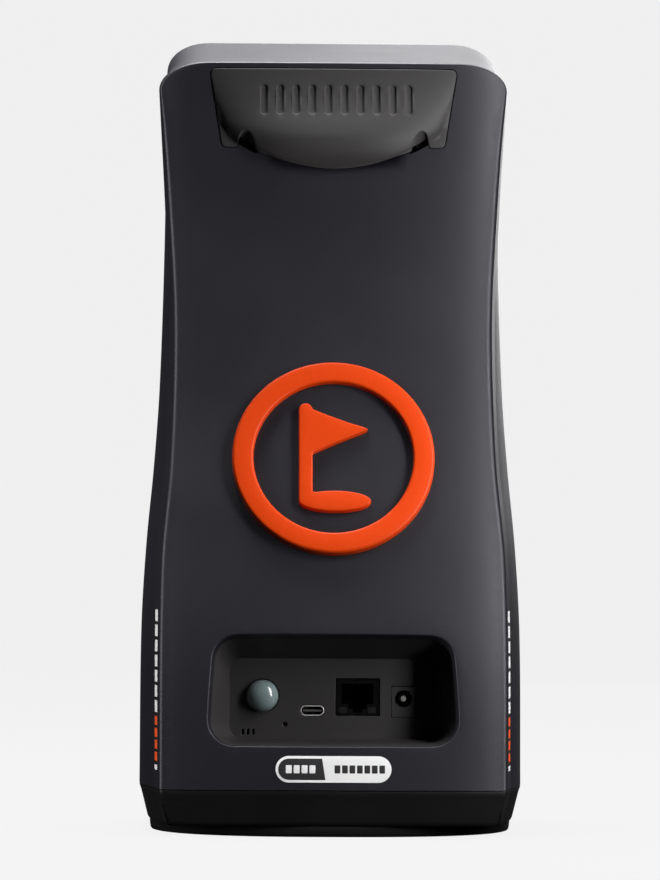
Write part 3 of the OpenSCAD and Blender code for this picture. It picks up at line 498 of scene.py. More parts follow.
def top_blend(z):
    return clamp01((z - TOP_BLEND_Z) / (BACK_TOP_Z - TOP_BLEND_Z)) ** 2


def rim_samples():
    """[crease point (x, z), outward normal (x, z)] from the right foot over the top to the left."""
    n = round((CORNER_Z - BASE_H) / CREASE_STEP)
    right = []
    for i in range(n + 1):
        z = mix(BASE_H, CORNER_Z, i / n)
        right.append(((curve(CREASE_LINE, z), z), (1.0, 0.0)))
    for i in range(1, 13):
        a = math.radians(90 * i / 12)
        nx, nz = math.cos(a) / CORNER_W, math.sin(a) / CORNER_H
        size = math.hypot(nx, nz)
        right.append(((TOP_HALF - CORNER_W * (1 - math.cos(a)), CORNER_Z + CORNER_H * math.sin(a)),
                      (nx / size, nz / size)))
    flat = TOP_HALF - CORNER_W
    m = 16
    for i in range(1, m + 1):
        right.append(((flat * (1 - i / m), BACK_TOP_Z), (0.0, 1.0)))
    left = [((-x, z), (-nx, nz)) for (x, z), (nx, nz) in right[-2::-1]]
    return right + left


RIM = rim_samples()


def edge_point(sample, along, depth):
    """Point of the back shell's edge, along (mm) outward from the crease and depth (mm) forward."""
    (cx, cz), (nx, nz) = sample
    d, r = curve(EDGE_DEPTH, cz), curve(EDGE_ROUND, cz)
    blend = top_blend(cz)
    inset = SIDE_DRAFT * (1 - blend) * (d - r) + r
    fx, fz = cx - nx * inset, cz - nz * inset
    x, z = cx + nx * along, cz + nz * along
    return (x, back_y(fx, fz) + depth, z + depth * TOP_SLOPE * blend)


def edge_rows(sample):
    """The edge of the back shell at one sample, from the back face round to the parting line."""
    cz = sample[0][1]
    d, r = curve(EDGE_DEPTH, cz), curve(EDGE_ROUND, cz)
    draft = SIDE_DRAFT * (1 - top_blend(cz))
    inset = draft * (d - r) + r
    out = []
    for k in range(7):
        a = math.radians(90 * k / 6)
        out.append(edge_point(sample, r * math.sin(a) - inset, r * (1 - math.cos(a))))
    for k in range(1, 5):
        e = mix(r, d, k / 4)
        out.append(edge_point(sample, r + draft * (e - r) - inset, e))
    return out


# Grip outline in (x, z), right half from the top centre down to the lip's centre
GRIP_TOP = 289.1
GRIP_HALF = 46.8
WING_FOOT = 259.4
LIP_Z = 251.1


def arc_points(cx, cz, r, a0, a1, n):
    return [(cx + r * math.cos(math.radians(mix(a0, a1, i / n))),
             cz + r * math.sin(math.radians(mix(a0, a1, i / n)))) for i in range(n + 1)]


def lip_edge(x):
    return LIP_Z + 7.2 * (abs(x) / LIP_HALF) ** 2


def grip_half():
    """[(x, z), kind] up the right half of the grip's outline; kind is lip, notch or side."""
    out = [((LIP_HALF * i / 14, lip_edge(LIP_HALF * i / 14)), "lip") for i in range(15)]
    crest = (33.7, NOTCH_TOP)
    out += [(bezier3((29.9, 259.1), (31.0, 265.2), crest, t / 6), "notch") for t in range(7)]
    out += [(bezier3(crest, (35.8, NOTCH_TOP), (36.4, 260.2), t / 6), "notch") for t in range(1, 7)]
    out += [((37.0, WING_FOOT), "side"), ((38.6, WING_FOOT), "side"), ((40.2, WING_FOOT), "side")]
    out += [(p, "side") for p in arc_points(40.7, WING_FOOT + 2, 2, -88, -6, 5)]
    foot, top = Vector((42.75, WING_FOOT + 2.4)), Vector((GRIP_HALF, GRIP_TOP - 2.2))
    out += [(tuple(foot.lerp(top, i / 10)), "side") for i in range(1, 10)]
    out += [(p, "side") for p in arc_points(GRIP_HALF - 2, GRIP_TOP - 2, 2, 0, 90, 5)]
    out += [((x, GRIP_TOP), "side") for x in (42, 38, 34, 30, 26, 22, 18, 14, 10, 6, 2, 0)]
    return out


def scoop(x, z):
    """Depth of the finger scoop in the back face behind the grip's lip."""
    across = smooth01((27 - abs(x)) / 9)
    up = smooth01((z - 251.5) / 6) * smooth01((270 - z) / 6)
    return 4.6 * across * up


PANEL_Y = -40.0
PANEL_W = 77.0
PANEL_H = 29.8
PANEL_Z = 50.6


def bay_loop(depth):
    """Rounded section of the port bay, depth (mm) in front of the panel: it flares towards the opening."""
    half = PANEL_W / 2 + 0.42 * depth
    low = PANEL_Z - PANEL_H / 2 - 0.105 * depth
    high = PANEL_Z + PANEL_H / 2 + 0.65 * depth
    r = mix(4.5, 13.5, depth / 30)
    across, up = 16, 8
    out = []
    for cx, cz, a0, count, (tx, tz) in [(half - r, high - r, 0, across, (r - half, high)),
                                        (r - half, high - r, 90, up, (-half, low + r)),
                                        (r - half, low + r, 180, across, (half - r, low)),
                                        (half - r, low + r, 270, up, (half, high - r))]:
        out.extend(arc_points(cx, cz, r, a0, a0 + 90, 8))
        ex, ez = out[-1]
        out.extend((mix(ex, tx, i / count), mix(ez, tz, i / count)) for i in range(1, count))
    return out


def bay_opening():
    """Depth in front of the panel at which each point of the bay's section meets the back face."""
    depths = [15.0] * len(bay_loop(0))
    for _ in range(12):
        depths = [PANEL_Y - back_y(*bay_loop(d)[k]) for k, d in enumerate(depths)]
    return depths


BAY_DEPTHS = bay_opening()


def bay_wall(k, down):
    """Point k on the bay's wall, down (mm) from the back face towards the panel."""
    d = max(0, BAY_DEPTHS[k] - down)
    x, z = bay_loop(d)[k]
    return (x, PANEL_Y - d, z)


def face_point(x, z, sink=0.0):
    """Point of the back face, with its finger scoop, sink (mm) below the surface."""
    return (x, back_y(x, z) + scoop(x, z) + sink, z)


def add_rear_shell():
    """Back shell: the concave face, its rounded edges, the bay's lip and the recess that holds the grip."""
    build = Builder()
    edges = [edge_rows(s) for s in RIM]
    face_rim = [(row[0][0], row[0][2]) for row in edges]
    left_foot, right_foot = face_rim[-1], face_rim[0]
    n = 48
    bottom = [(mix(left_foot[0], right_foot[0], i / n), BASE_H) for i in range(1, n)]

    count = len(BAY_DEPTHS)
    mouth = [(bay_wall(k, 0)[0], bay_wall(k, 0)[2]) for k in range(count)]
    mouth_rim = offset_loop(mouth, BAY_LIP)
    seat = [p for p, kind in RECESS]
    loops = add_patch(build, face_rim + bottom, [mouth_rim, seat], FACE_STEP, face_point)

    strip = [loops[0][:len(RIM)]]
    for k in range(1, len(edges[0])):
        strip.append(build.add([row[k] for row in edges]))
    inner = [build.add([edge_point(s, -inward, curve(EDGE_DEPTH, s[0][1]) + extra) for s in RIM])
             for inward, extra in ((1.2, 0), (1.3, 1.5), (2.4, 1.5))]
    build.join(strip + inner)

    rows = [loops[1]]
    for t in (0.2, 0.4, 0.6, 0.8, 1.0):
        rows.append(build.add([bezier3((x, back_y(x, z), z), bay_wall(k, 0), bay_wall(k, BAY_LIP), t)
                               for k, (x, z) in enumerate(mouth_rim)]))
    rows += [build.add([bay_wall(k, down) for k in range(count)]) for down in (2.0, WALL)]
    build.join(rows, closed=True)

    rows = [loops[2]]
    for inward, level in ((0.06, 0.1), (0.18, 1.0)):
        pts = offset_loop(seat, -inward)
        rows.append(build.add([face_point(x, z, level * recess_depth(x, z)) for x, z in pts]))
    build.join(rows, closed=True)
    add_patch(build, pts, [], 1.6, lambda x, z: face_point(x, z, recess_depth(x, z)))
    shell = build.make("rear_shell_skin")
    smooth_by_angle(shell, 40)
    finish_piece(shell, SHELL, ["rear_shell"])


def recess_loop():
    """Outline of the recess round the grip: [(x, z), kind], counter-clockwise."""
    gap = 0.42
    right = [((LIP_HALF * i / 8, 258.4 if i < 8 else 257.0), "lip") for i in range(9)]
    right += [((31.6, 257.9), "lip"), ((34.0, 259.2), "lip"), ((36.1, 260.4), "lip"), ((36.4, 259.9), "lip"),
              ((36.6, WING_FOOT - gap), "side")]
    side = [p for p, kind in grip_half() if kind == "side"]
    grown = offset_loop(side + [(-x, z) for x, z in side[::-1][1:]], gap)[:len(side)]
    right += [(p, "side") for p in grown[1:]]
    return right + [((-x, z), kind) for (x, z), kind in right[::-1] if x > 1e-6]


RECESS = recess_loop()


def recess_depth(x, z):
    """Depth of the recess under the grip: deeper below the notches."""
    across = smooth01((abs(x) - 28.2) / 1.4) * smooth01((38.4 - abs(x)) / 1.2)
    return 1.2 + 4.0 * across * smooth01((265 - z) / 2)


def bulge_half(z):
    """Half width of the grip's bulge, outside which its low wings lie."""
    return curve([[250, 31.5], [256.5, 32.6], [262, 37.4], [266, 41.2], [271, 43.2], [277, 45.1],
                  [283, 46.6], [290, 47.6]], z)


def grip_rise(x, z):
    """Height of the grip above the back face."""
    high = curve([[250, 2.2], [252, 4.6], [255, 7.4], [258, 9.0], [262, 9.5], [267, 8.0], [272, 5.8],
                  [278, 3.3], [284, 1.5], [290, 0.35]], z)
    half = bulge_half(z)
    across = max(0.0, 1 - (abs(x) / half) ** 2.6)
    return 0.35 + high * across ** 0.55


def grip_point(x, z, down=0.0):
    return (x, back_y(x, z) - grip_rise(x, z) + down, z)


SLOT_W = 3.1
SLOT_COUNT = 10
SLOT_SPAN = 55.0                # from the first slot's centre to the last one's
SLOT_Z0, SLOT_Z1 = 271.2, 283.0
EDGE_RADIUS = {"lip": 1.4, "notch": 0.45, "side": 0.35}


def stadium_loop(w, h, centre=(0, 0), steps=8):
    """Counter-clockwise loop of a slot with round ends along its longer side."""
    r = min(w, h) / 2
    return rounded_rect(w + 1e-4, h + 1e-4, r, steps, centre)


def add_grip():
    """Soft-touch grip: bulging lip to lift by, low wings, notched ends and a row of debossed slots."""
    build = Builder()
    half = grip_half()
    loop = half + [((-x, z), kind) for (x, z), kind in half[::-1] if x > 1e-6]
    outline = [p for p, kind in loop]
    kinds = [kind for p, kind in loop]
    count = len(loop)
    radii = [EDGE_RADIUS[kind] for kind in kinds]
    radii = [sum(radii[(i + k) % count] for k in (-2, -1, 0, 1, 2)) / 5 for i in range(count)]
    normals = loop_normals(outline)
    inner = [(x - nx * r, z - nz * r) for (x, z), (nx, nz), r in zip(outline, normals, radii)]

    pitch = SLOT_SPAN / (SLOT_COUNT - 1)
    slots = [stadium_loop(SLOT_W, SLOT_Z1 - SLOT_Z0, (-27.0 + pitch * i + 0.5, (SLOT_Z0 + SLOT_Z1) / 2))
             for i in range(SLOT_COUNT)]
    loops = add_patch(build, inner, slots, 1.1, grip_point)
    for slot, ids in zip(slots, loops[1:]):
        rows = [ids]
        for shrink, down in ((0.08, 0.03), (0.18, 0.14), (0.22, 0.5), (0.3, 0.62), (0.45, 0.68)):
            rows.append(build.add([grip_point(x, z, down) for x, z in offset_loop(slot, -shrink)]))
        build.join(rows, closed=True)
        add_patch(build, offset_loop(slot, -0.45), [], 1.4, lambda x, z: grip_point(x, z, 0.68))

    rows = [loops[0]]
    for k in range(1, 7):
        a = math.radians(90 * k / 6)
        pts = []
        for (x, z), (nx, nz), r in zip(outline, normals, radii):
            s = r * (1 - math.sin(a))
            pts.append(grip_point(x - nx * s, z - nz * s, r * (1 - math.cos(a))))
        rows.append(build.add(pts))

    def behind(i, stage):
        """Where outline point i continues behind the front surface, stage 1 to 4."""
        (x, z), kind, r = outline[i], kinds[i], radii[i]
        face = back_y(x, z) - grip_rise(x, z) + r
        seat = back_y(x, z) + 0.9
        if kind == "notch":
            low = mix(263.3, 259.6, clamp01((36.4 - abs(x)) / 6.7))
            t = (0.35, 0.7, 1.0, 1.0)[stage - 1]
            y = mix(face, back_y(x, z) - 0.2, (0.3, 0.65, 1.0, 1.0)[stage - 1])
            return (x, y if stage < 4 else seat, mix(z, min(z, low), t))
        if kind == "lip":
            open_up = smooth01((28.5 - abs(x)) / 8)
            thick = mix(seat - face, 1.3, open_up)
            top = mix(z, 263, open_up)
            y1 = face + thick * 0.5
            y2 = face + thick
            return [(x, y1, z + 0.25 * open_up), (x, y2, z + 0.8 * open_up),
                    (x, y2 + 0.4 * open_up, top), (x, seat + scoop(x, z), top + 0.4)][stage - 1]
        return (x, mix(face, seat, stage / 4), z)

    for stage in (1, 2, 3, 4):
        rows.append(build.add([behind(i, stage) for i in range(count)]))
    build.join(rows, closed=True)
    grip = build.make("grip_skin")
    smooth_by_angle(grip, 50)
    finish_piece(grip, GRIP_SOFT, ["grip"])


SCREW_X, SCREW_Z, SCREW_R = 32.6, 261.6, 2.3


def add_grip_screws():
    """Two blackened screws down in the grip's notches."""
    build = Builder()
    z = SCREW_Z
    for x in (-SCREW_X, SCREW_X):
        base = back_y(x, z)
        profile = [(SCREW_R, base + 5), (SCREW_R, base + 2.8), (2.0, base + 2.55), (1.3, base + 2.5),
                   (1.2, base + 3.2)]
        ids = lathe(build, (x, z), profile, 24)
        build.fill(ids[0], (x, base + 5, z))
        build.fill(ids[-1], (x, base + 3.2, z))
    screws = build.make("grip_screw_heads")
    smooth_by_angle(screws, 40)
    finish_piece(screws, BLACK_STEEL, ["grip_screws"])


# ---- front shell: from the parting line forward to the leaning front face


def front_z(z):
    return mix(BASE_H, CASE_H, (z - BASE_H) / (BACK_TOP_Z - BASE_H))


def front_profile(sample, v, gap=SEAM):
    """Point of the front shell's side, v from 0 at the parting line to 1 at the front edge."""
    (cx, cz), (nx, nz) = sample
    start = edge_point(sample, 0, curve(EDGE_DEPTH, cz) + gap)
    widen = (curve(SIDE_LINE, cz) - curve(CREASE_LINE, cz)) if cz <= CORNER_Z else -2.6
    flare = 1 - (1 - clamp01(v / 0.4)) ** 2
    fz = front_z(cz)
    return (cx + nx * widen * flare, mix(start[1], front_y(fz), v), mix(start[2], fz, v))


def front_round(sample):
    """Radius of the front edge: large down the sides, small across the top."""
    return mix(TOP_ROUND, FRONT_ROUND, smooth01(abs(sample[1][0])))


def front_edge_rows(sample):
    end = front_profile(sample, 1)
    start = front_profile(sample, 0)
    length = math.dist(start, end)
    r = front_round(sample)
    v1 = 1 - r / length
    rows = [front_profile(sample, v) for v in (mix(0, v1, (k / 22)) for k in range(23))]
    nx, nz = sample[1]
    inner = (end[0] - nx * r, end[1] + nz * r * math.sin(LEAN), end[2] - nz * r * math.cos(LEAN))
    return rows + [bezier3(rows[-1], end, inner, k / 7) for k in range(1, 8)]


def to_front(p):
    """(u, w) on the front face plane of a point in case coordinates."""
    q = FRONT_FRAME.inverted() @ Vector(p)
    return q.x, q.z


def from_front(u, w, depth=0.0):
    """Point depth (mm) behind the front face."""
    return tuple(FRONT_FRAME @ Vector((u, -depth, w)))


WINDOW = (104.0, 150.0, 10.0, 97.0)      # width, height, corner radius, height of its centre up the face
DISPLAY = (84.0, 58.0, 6.0, 232.0)


def add_front_shell():
    """Front shell: sides and top, the rounded front edge and the leaning face with its two openings."""
    build = Builder()
    rows = [front_edge_rows(s) for s in RIM]
    count = len(rows[0])
    lead = build.add([edge_point(s, -1.1, curve(EDGE_DEPTH, s[0][1]) + SEAM) for s in RIM])
    strip = [lead] + [build.add([row[k] for row in rows]) for k in range(count - 1)]
    rim = [to_front(row[-1]) for row in rows]
    n = 40
    low = [(mix(rim[-1][0], rim[0][0], i / n), rim[0][1]) for i in range(1, n)]
    holes = [rounded_rect(w + 1.6, h + 1.6, r + 0.8, 8, (0, up), 5) for w, h, r, up in (WINDOW, DISPLAY)]
    loops = add_patch(build, rim + low, holes, 4.5, from_front)
    build.join(strip + [loops[0][:len(RIM)]])
    for hole, ids in zip(holes, loops[1:]):
        ring = [ids]
        for shrink, depth in ((0.15, 0.1), (0.4, 0.25), (0.6, 0.6), (0.65, 2.3), (3.5, 2.3), (3.5, 4)):
            ring.append(build.add([from_front(u, w, depth) for u, w in offset_loop(hole, -shrink)]))
        build.join(ring, closed=True)
    shell = build.make("front_shell_skin")
    smooth_by_angle(shell, 40)
    finish_piece(shell, SHELL, ["front_shell"])


def section_loop():
    """Outline of the body at its foot (x, y), counter-clockwise from the middle of the back."""
    right = RIM[0]
    face = edge_rows(right)[0]
    n = 22
    half = [(mix(0, face[0], i / n), back_y(mix(0, face[0], i / n), BASE_H)) for i in range(n)]
    half += [(p[0], p[1]) for p in edge_rows(right)]
    half += [(p[0], p[1]) for p in front_edge_rows(right)[1:]]
    last = half[-1]
    half += [(mix(last[0], 0, i / n), HALF_D) for i in range(1, n + 1)]
    return half + [(-x, y) for x, y in half[::-1] if x > 1e-6]


PAD_HALF_W, PAD_HALF_D = 68.5, 59.7
PAD_FULLNESS = 2.5              # 2 is an ellipse, more fills its corners


def add_base():
    """Black base tray, tapering to a rubber foot."""
    outline = section_loop()
    build = Builder()
    top = BASE_H - 0.35

    def ring(inset, z):
        return [(x, y, z) for x, y in offset_loop(outline, -inset)]

    def taper(z):
        return BASE_TAPER * (BASE_H - z)

    profile = [(3.0, top + 0.1), (0.5, top + 0.05), (0.12, top - 0.05), (0.06, top - 0.4)]
    profile += [(0.06 + taper(z), z) for z in (15, 12, 9, 7, 6)]
    profile += [(taper(5.2) + 0.08, 5.2), (taper(4.6) + 0.3, 4.5), (taper(4.2) + 0.8, FOOT_H + 0.12),
                (8.0, FOOT_H + 0.1)]
    ids = build.grid([ring(inset, z) for inset, z in profile], closed=True)
    build.fill(ids[0], (0, 0, top + 0.1))
    build.fill(ids[-1], (0, 0, FOOT_H + 0.1))
    tray = build.make("base_tray_skin")
    smooth_by_angle(tray, 35)
    finish_piece(tray, BASE_BLACK, ["base_tray"])

    def full(c):
        return math.copysign(abs(c) ** (2 / PAD_FULLNESS), c)

    def pad_ring(inset, z):
        """Ring of the rubber foot, an oval with full corners."""
        turns = [2 * math.pi * i / 160 for i in range(160)]
        return [(full(math.cos(a)) * (PAD_HALF_W - inset), full(math.sin(a)) * (PAD_HALF_D - inset), z)
                for a in turns]

    build = Builder()
    profile = [(0.3, FOOT_H), (0.05, FOOT_H - 0.3), (0, FOOT_H - 0.6), (0.15, 1.6), (0.35, 0.6), (0.7, 0.15),
               (1.3, 0.0), (5, 0.0), (5.6, 0.5), (12, 0.5)]
    ids = build.grid([pad_ring(inset, z) for inset, z in profile], closed=True)
    build.fill(ids[0], (0, 0, FOOT_H))
    build.fill(ids[-1], (0, 0, 0.5))
    foot = build.make("foot_pad_skin")
    smooth_by_angle(foot, 35)
    finish_piece(foot, FOOT_RUBBER, ["foot_pad"])


# ---------------------------------------------------------------- port bay and its panel

BUTTON_X, BUTTON_Z, BUTTON_R = -26.2, 51.5, 6.0
USB_X, USB_Z = -7.5, 46.0
PINHOLE = (-17.6, 40.9, 1.05)
BUZZER_X, BUZZER_Z, BUZZER_PITCH = -31.5, 38.0, 1.95


def circle_loop(x, z, r, n=32):
    return [(x + r * math.cos(2 * math.pi * i / n), z + r * math.sin(2 * math.pi * i / n)) for i in range(n)]


def grow_box(low, high, gap):
    """Rounded rectangle (x, z) round a node's box."""
    w, h = high.x - low.x + 2 * gap, high.z - low.z + 2 * gap
    return rounded_rect(w, h, 0.35, 3, ((low.x + high.x) / 2, (low.z + high.z) / 2), 2.5)


def add_port_bay():
    """Walls of the bay, from behind the shell's lip in to the panel."""
    build = Builder()
    start = WALL + 0.1
    rows = [[bay_wall(k, start + (BAY_DEPTHS[k] - WALL - 0.1) * t / 8) for k in range(len(BAY_DEPTHS))]
            for t in range(9)]
    mouth = offset_loop([(x, z) for x, y, z in rows[0]], 0.35)
    lead = [(x, y, z) for (x, z), (_, y, _) in zip(mouth, rows[0])]
    end = [(x, z) for x, y, z in rows[-1]]
    foot = [(x, PANEL_Y + 0.02, z) for x, z in offset_loop(end, -0.2)]
    back = [(x, PANEL_Y + 0.3, z) for x, z in offset_loop(end, -0.1)]
    build.grid([lead] + rows + [foot, back], closed=True)
    bay = build.make("port_bay_skin")
    smooth_by_angle(bay, 40)
    finish_piece(bay, BAY_PLASTIC, ["port_bay"])


def add_port_panel():
    """Flat panel with softened holes for the button, the pinhole, the buzzer slots and the sockets."""
    build = Builder()
    y = PANEL_Y + 0.05
    outer = offset_loop(refine(bay_loop(0), 3), 0.35)
    net_low, net_high = box_mm("ethernet_shield")
    dc_low, dc_high = box_mm("dc_jack_body")
    usb_low, usb_high = box_mm("usb_shell")
    holes = [circle_loop(BUTTON_X, BUTTON_Z, BUTTON_R + 0.55, 64), circle_loop(*PINHOLE, 20)]
    holes += [rounded_rect(1.15, 2.4, 0.3, 3, (BUZZER_X + i * BUZZER_PITCH, BUZZER_Z)) for i in (-1, 0, 1)]
    holes.append(stadium_loop(usb_high.x - usb_low.x + 0.9, usb_high.z - usb_low.z + 0.9, (USB_X, USB_Z)))
    holes += [grow_box(net_low, net_high, 0.42), grow_box(dc_low, dc_high, 0.38)]
    loops = add_patch(build, outer, holes, 2.4, lambda x, z: (x, y, z))
    for hole, ids in zip(holes, loops[1:]):
        rows = [ids]
        for shrink, depth in ((0.04, 0.02), (0.1, 0.07), (0.14, 0.16), (0.16, 2.0)):
            rows.append(build.add([(px, y + depth, pz) for px, pz in offset_loop(hole, -shrink)]))
        build.join(rows, closed=True)
    build.join([loops[0], build.add([(px, y + 2.0, pz) for px, pz in outer])], closed=True)
    panel = build.make("port_panel_skin")
    smooth_by_angle(panel, 15)
    finish_piece(panel, BAY_PLASTIC, ["port_panel"])
    panel.data.materials.append(PAINTED_HOLE_SHADE)        # painted shade: the deep walls inside the pinhole and the buzzer slots are coloured black where they would lie in shadow
    for face in panel.data.polygons:
        if face.center.x < -14 * MM and face.center.z < 43 * MM and face.center.y > (y + 0.12) * MM:
            face.material_index = 1


def lathe(build, centre, profile, n=64):
    """Turns a profile of (radius, y) about an axis along Y through centre (x, z)."""
    return build.grid([[(x, y, z) for x, z in circle_loop(*centre, r, n)] for r, y in profile], closed=True)


def add_button():
    """Pearly dome of the power button on its flanged stem."""
    build = Builder()
    low, high = box_mm("power_button")
    profile = [(7.3, high.y), (7.4, high.y - 0.3), (7.4, PANEL_Y + 2.2), (BUTTON_R, PANEL_Y + 2.15),
               (BUTTON_R, PANEL_Y - 0.4)]
    rise = PANEL_Y - 0.4 - low.y
    for k in range(1, 13):
        a = math.radians(90 * k / 12)
        profile.append((BUTTON_R * math.cos(a) + 1e-4, PANEL_Y - 0.4 - rise * math.sin(a)))
    ids = lathe(build, (BUTTON_X, BUTTON_Z), profile)
    build.fill(ids[0], (BUTTON_X, high.y, BUTTON_Z))
    button = build.make("power_button_dome")
    smooth_by_angle(button, 60)
    finish_piece(button, PEARL, ["power_button"], body="button")


def stadium_tube(build, x, z, outer, inner, y0, y1, edge=0.12):
    """Open-ended tube of round-ended section between depths y0 and y1, with softened mouth edges."""
    (ow, oh), (iw, ih) = outer, inner
    rows = [(ow, oh, y1), (ow, oh, y0 + edge), (ow - 0.6 * edge, oh - 0.6 * edge, y0 + 0.3 * edge),
            (ow - 2 * edge, oh - 2 * edge, y0), (iw + 1.2 * edge, ih + 1.2 * edge, y0),
            (iw + 0.3 * edge, ih + 0.3 * edge, y0 + 0.4 * edge), (iw, ih, y0 + 1.4 * edge), (iw, ih, y1)]
    build.grid([[(px, y, pz) for px, pz in stadium_loop(w, h, (x, z), 12)] for w, h, y in rows], closed=True)


def add_usb_socket():
    """Bright shell of the USB socket."""
    low, high = box_mm("usb_shell")
    w, h = high.x - low.x, high.z - low.z
    build = Builder()
    stadium_tube(build, USB_X, USB_Z, (w, h), (w - 0.7, h - 0.7), low.y, high.y)
    shell = build.make("usb_shell_tube")
    smooth_by_angle(shell, 45)
    finish_piece(shell, BRIGHT_STEEL, ["usb_shell"])


# ---------------------------------------------------------------- sign, label and markings


def in_frame(matrix, points):
    return [tuple(matrix @ Vector(p)) for p in points]


RING_Z = 140.0
RING_RISE = 3.5
RING_INNER = 30.0


def add_ring():
    """Raised ring with softened shoulders."""
    low, high = box_mm("emblem_ring")
    outer, inner, crest = (high.x - low.x) / 2, RING_INNER, RING_RISE
    turns = [math.radians(a) for a in (0, 22, 45, 68, 90)]
    profile = [(inner, 1.2), (inner, -(crest - 1.0))]
    profile += [(inner + 1.0 - math.cos(a), -(crest - 1.0 + math.sin(a))) for a in turns[1:]]
    profile += [(outer - 1.2 + 1.2 * math.sin(a), -(crest - 1.2 + 1.2 * math.cos(a))) for a in turns]
    profile += [(outer, 1.2)]
    build = Builder()
    place = back_frame(RING_Z)
    build.grid([in_frame(place, [(x, y, z) for x, z in circle_loop(0, 0, r, 160)]) for r, y in profile],
               closed=True)
    ring = build.make("sign_ring")
    smooth_by_angle(ring, 40)
    finish_piece(ring, SATIN_ORANGE, ["emblem_ring"])


def raised_shape(name, outline, place, base, top, edge, material, nodes=(), step=3.0):
    """Solid shape standing out of place's XZ plane, from depth base to -top, with rounded edges."""
    build = Builder()
    rows = add_patch(build, offset_loop(outline, -edge), [], step,
                     lambda x, z: tuple(place @ Vector((x, -top, z))))
    for a in (30, 60, 90):
        back = edge * (1 - math.sin(math.radians(a)))
        y = -(top - edge * (1 - math.cos(math.radians(a))))
        rows.append(build.add(in_frame(place, [(x, y, z) for x, z in offset_loop(outline, -back)])))
    rows.append(build.add(in_frame(place, [(x, base, z) for x, z in outline])))
    build.join(rows, closed=True)
    piece = build.make(name)
    smooth_by_angle(piece, 40)
    finish_piece(piece, material, nodes)
    return piece


def flag_outline():
    """Flag on a pole over a putting cup, as one counter-clockwise loop (x, z) about the sign's centre."""
    cup_x, cup_z, cup_w, cup_h = 0.5, -17.3, 13.5, 4.05

    def cup_point(a):
        return (cup_x + cup_w * math.cos(math.radians(a)), cup_z + cup_h * math.sin(math.radians(a)))

    out = [cup_point(a) for a in range(180, 360, 9)] + [cup_point(a) for a in range(0, 120, 9)]
    out += [cup_point(122), (-7.8, -13.6), (-7.8, -12), (-7.8, -6), (-7.8, 1.4), (-7.3, 2.1)]
    out += [(-2, 4.44), (5, 7.5), (12.3, 10.7), (12.9, 11.1), (12.9, 11.4), (12.3, 11.75), (5, 14.1)]
    out += [(-2, 16.8), (-7.3, 18.95)] + arc_points(-10.4, 18.9, 2.6, 8, 180, 9)
    out += [(-13, z) for z in (12, 6, 0, -6, -12, -15.5)]
    return out


def add_sign():
    raised_shape("sign_flag", flag_outline(), back_frame(RING_Z), 1.2, RING_RISE - 0.6, 0.55, SATIN_ORANGE,
                 ["emblem_flag"])


LABEL_Z = 25.2
LABEL_W, LABEL_H = 42.8, 9.8
LABEL_BORDER = 0.95
DASH_HALF_H = 1.5


def print_plate(name, outline, place, height, material, nodes=()):
    """Thin printed patch standing height (mm) out of place's XZ plane."""
    return raised_shape(name, outline, place, 0.3, height, 0.03, material, nodes, step=2.2)


def add_label():
    """Printed pill: white outline, dark left end with pale dashes, white right end with dark dashes."""
    place = back_frame(LABEL_Z)
    pill = stadium_loop(LABEL_W, LABEL_H, steps=12)
    print_plate("label_white", pill, place, 0.06, PRINT_WHITE, ["label_pill"])
    r = LABEL_H / 2 - LABEL_BORDER
    dark = arc_points(-LABEL_W / 2 + LABEL_BORDER + r, 0, r, 90, 270, 12)
    dark += [(-9, -r), (-3.0, -r), (-4.2, r), (-9, r)]
    print_plate("label_dark_end", dark, place, 0.1, PRINT_DARK)

    def dashes(name, starts, width, height, material):
        loops = [rounded_rect(width, 2 * DASH_HALF_H, 0.3, 3, (x + width / 2, 0)) for x in starts]
        join_pieces(name, [print_plate(name + "_%d" % i, loop, place, height, material)
                           for i, loop in enumerate(loops)])

    dashes("label_pale_dashes", (-17.6, -14.7, -11.8, -8.9), 2.2, 0.14, PRINT_WHITE)
    dashes("label_dark_dashes", [0.4 + 2.75 * i for i in range(7)], 2.1, 0.1, PRINT_DARK)


def side_wall_point(side, z, inward, lift):
    """Point on the slanted side of the back shell, inward (mm) from the crease towards the back."""
    sample = ((curve(CREASE_LINE, z), z), (1.0, 0.0))
    d = curve(EDGE_DEPTH, z)
    x, y, _ = edge_point(sample, -SIDE_DRAFT * inward, d - inward)
    return (side * (x + lift), y, z)


# Printed dashes (z from, z to), and their section across the side (inward, lift)
WHITE_SPANS = [(45.6 + 5.6 * i, 49.9 + 5.6 * i) for i in range(7)] + [(24.3, 26.2)]
ORANGE_SPANS = [(27.6 + 4.4 * i, 30.9 + 4.4 * i) for i in range(4)]
DASH_SECTION = [(2.1, -0.1), (2.15, 0.05), (2.4, 0.07), (5.4, 0.07), (8.1, 0.07), (8.35, 0.05), (8.4, -0.1)]


def add_side_marks():
    """Printed dashes up each side: white above, orange below, a short white one at the foot."""
    for side, label in ((-1, "left"), (1, "right")):
        node = "side_mark_" + label
        for colour, material, spans, nodes in (("white", PRINT_WHITE, WHITE_SPANS, [node]),
                                               ("orange", PRINT_ORANGE, ORANGE_SPANS, [])):
            build = Builder()
            for z0, z1 in spans:
                build.grid([[side_wall_point(side, mix(z0, z1, k / 2), inward, lift)
                             for inward, lift in DASH_SECTION] for k in range(3)])
            finish_piece(build.make("side_dashes_%s_%s" % (colour, label)), material, nodes)


# ---------------------------------------------------------------- lens window and display


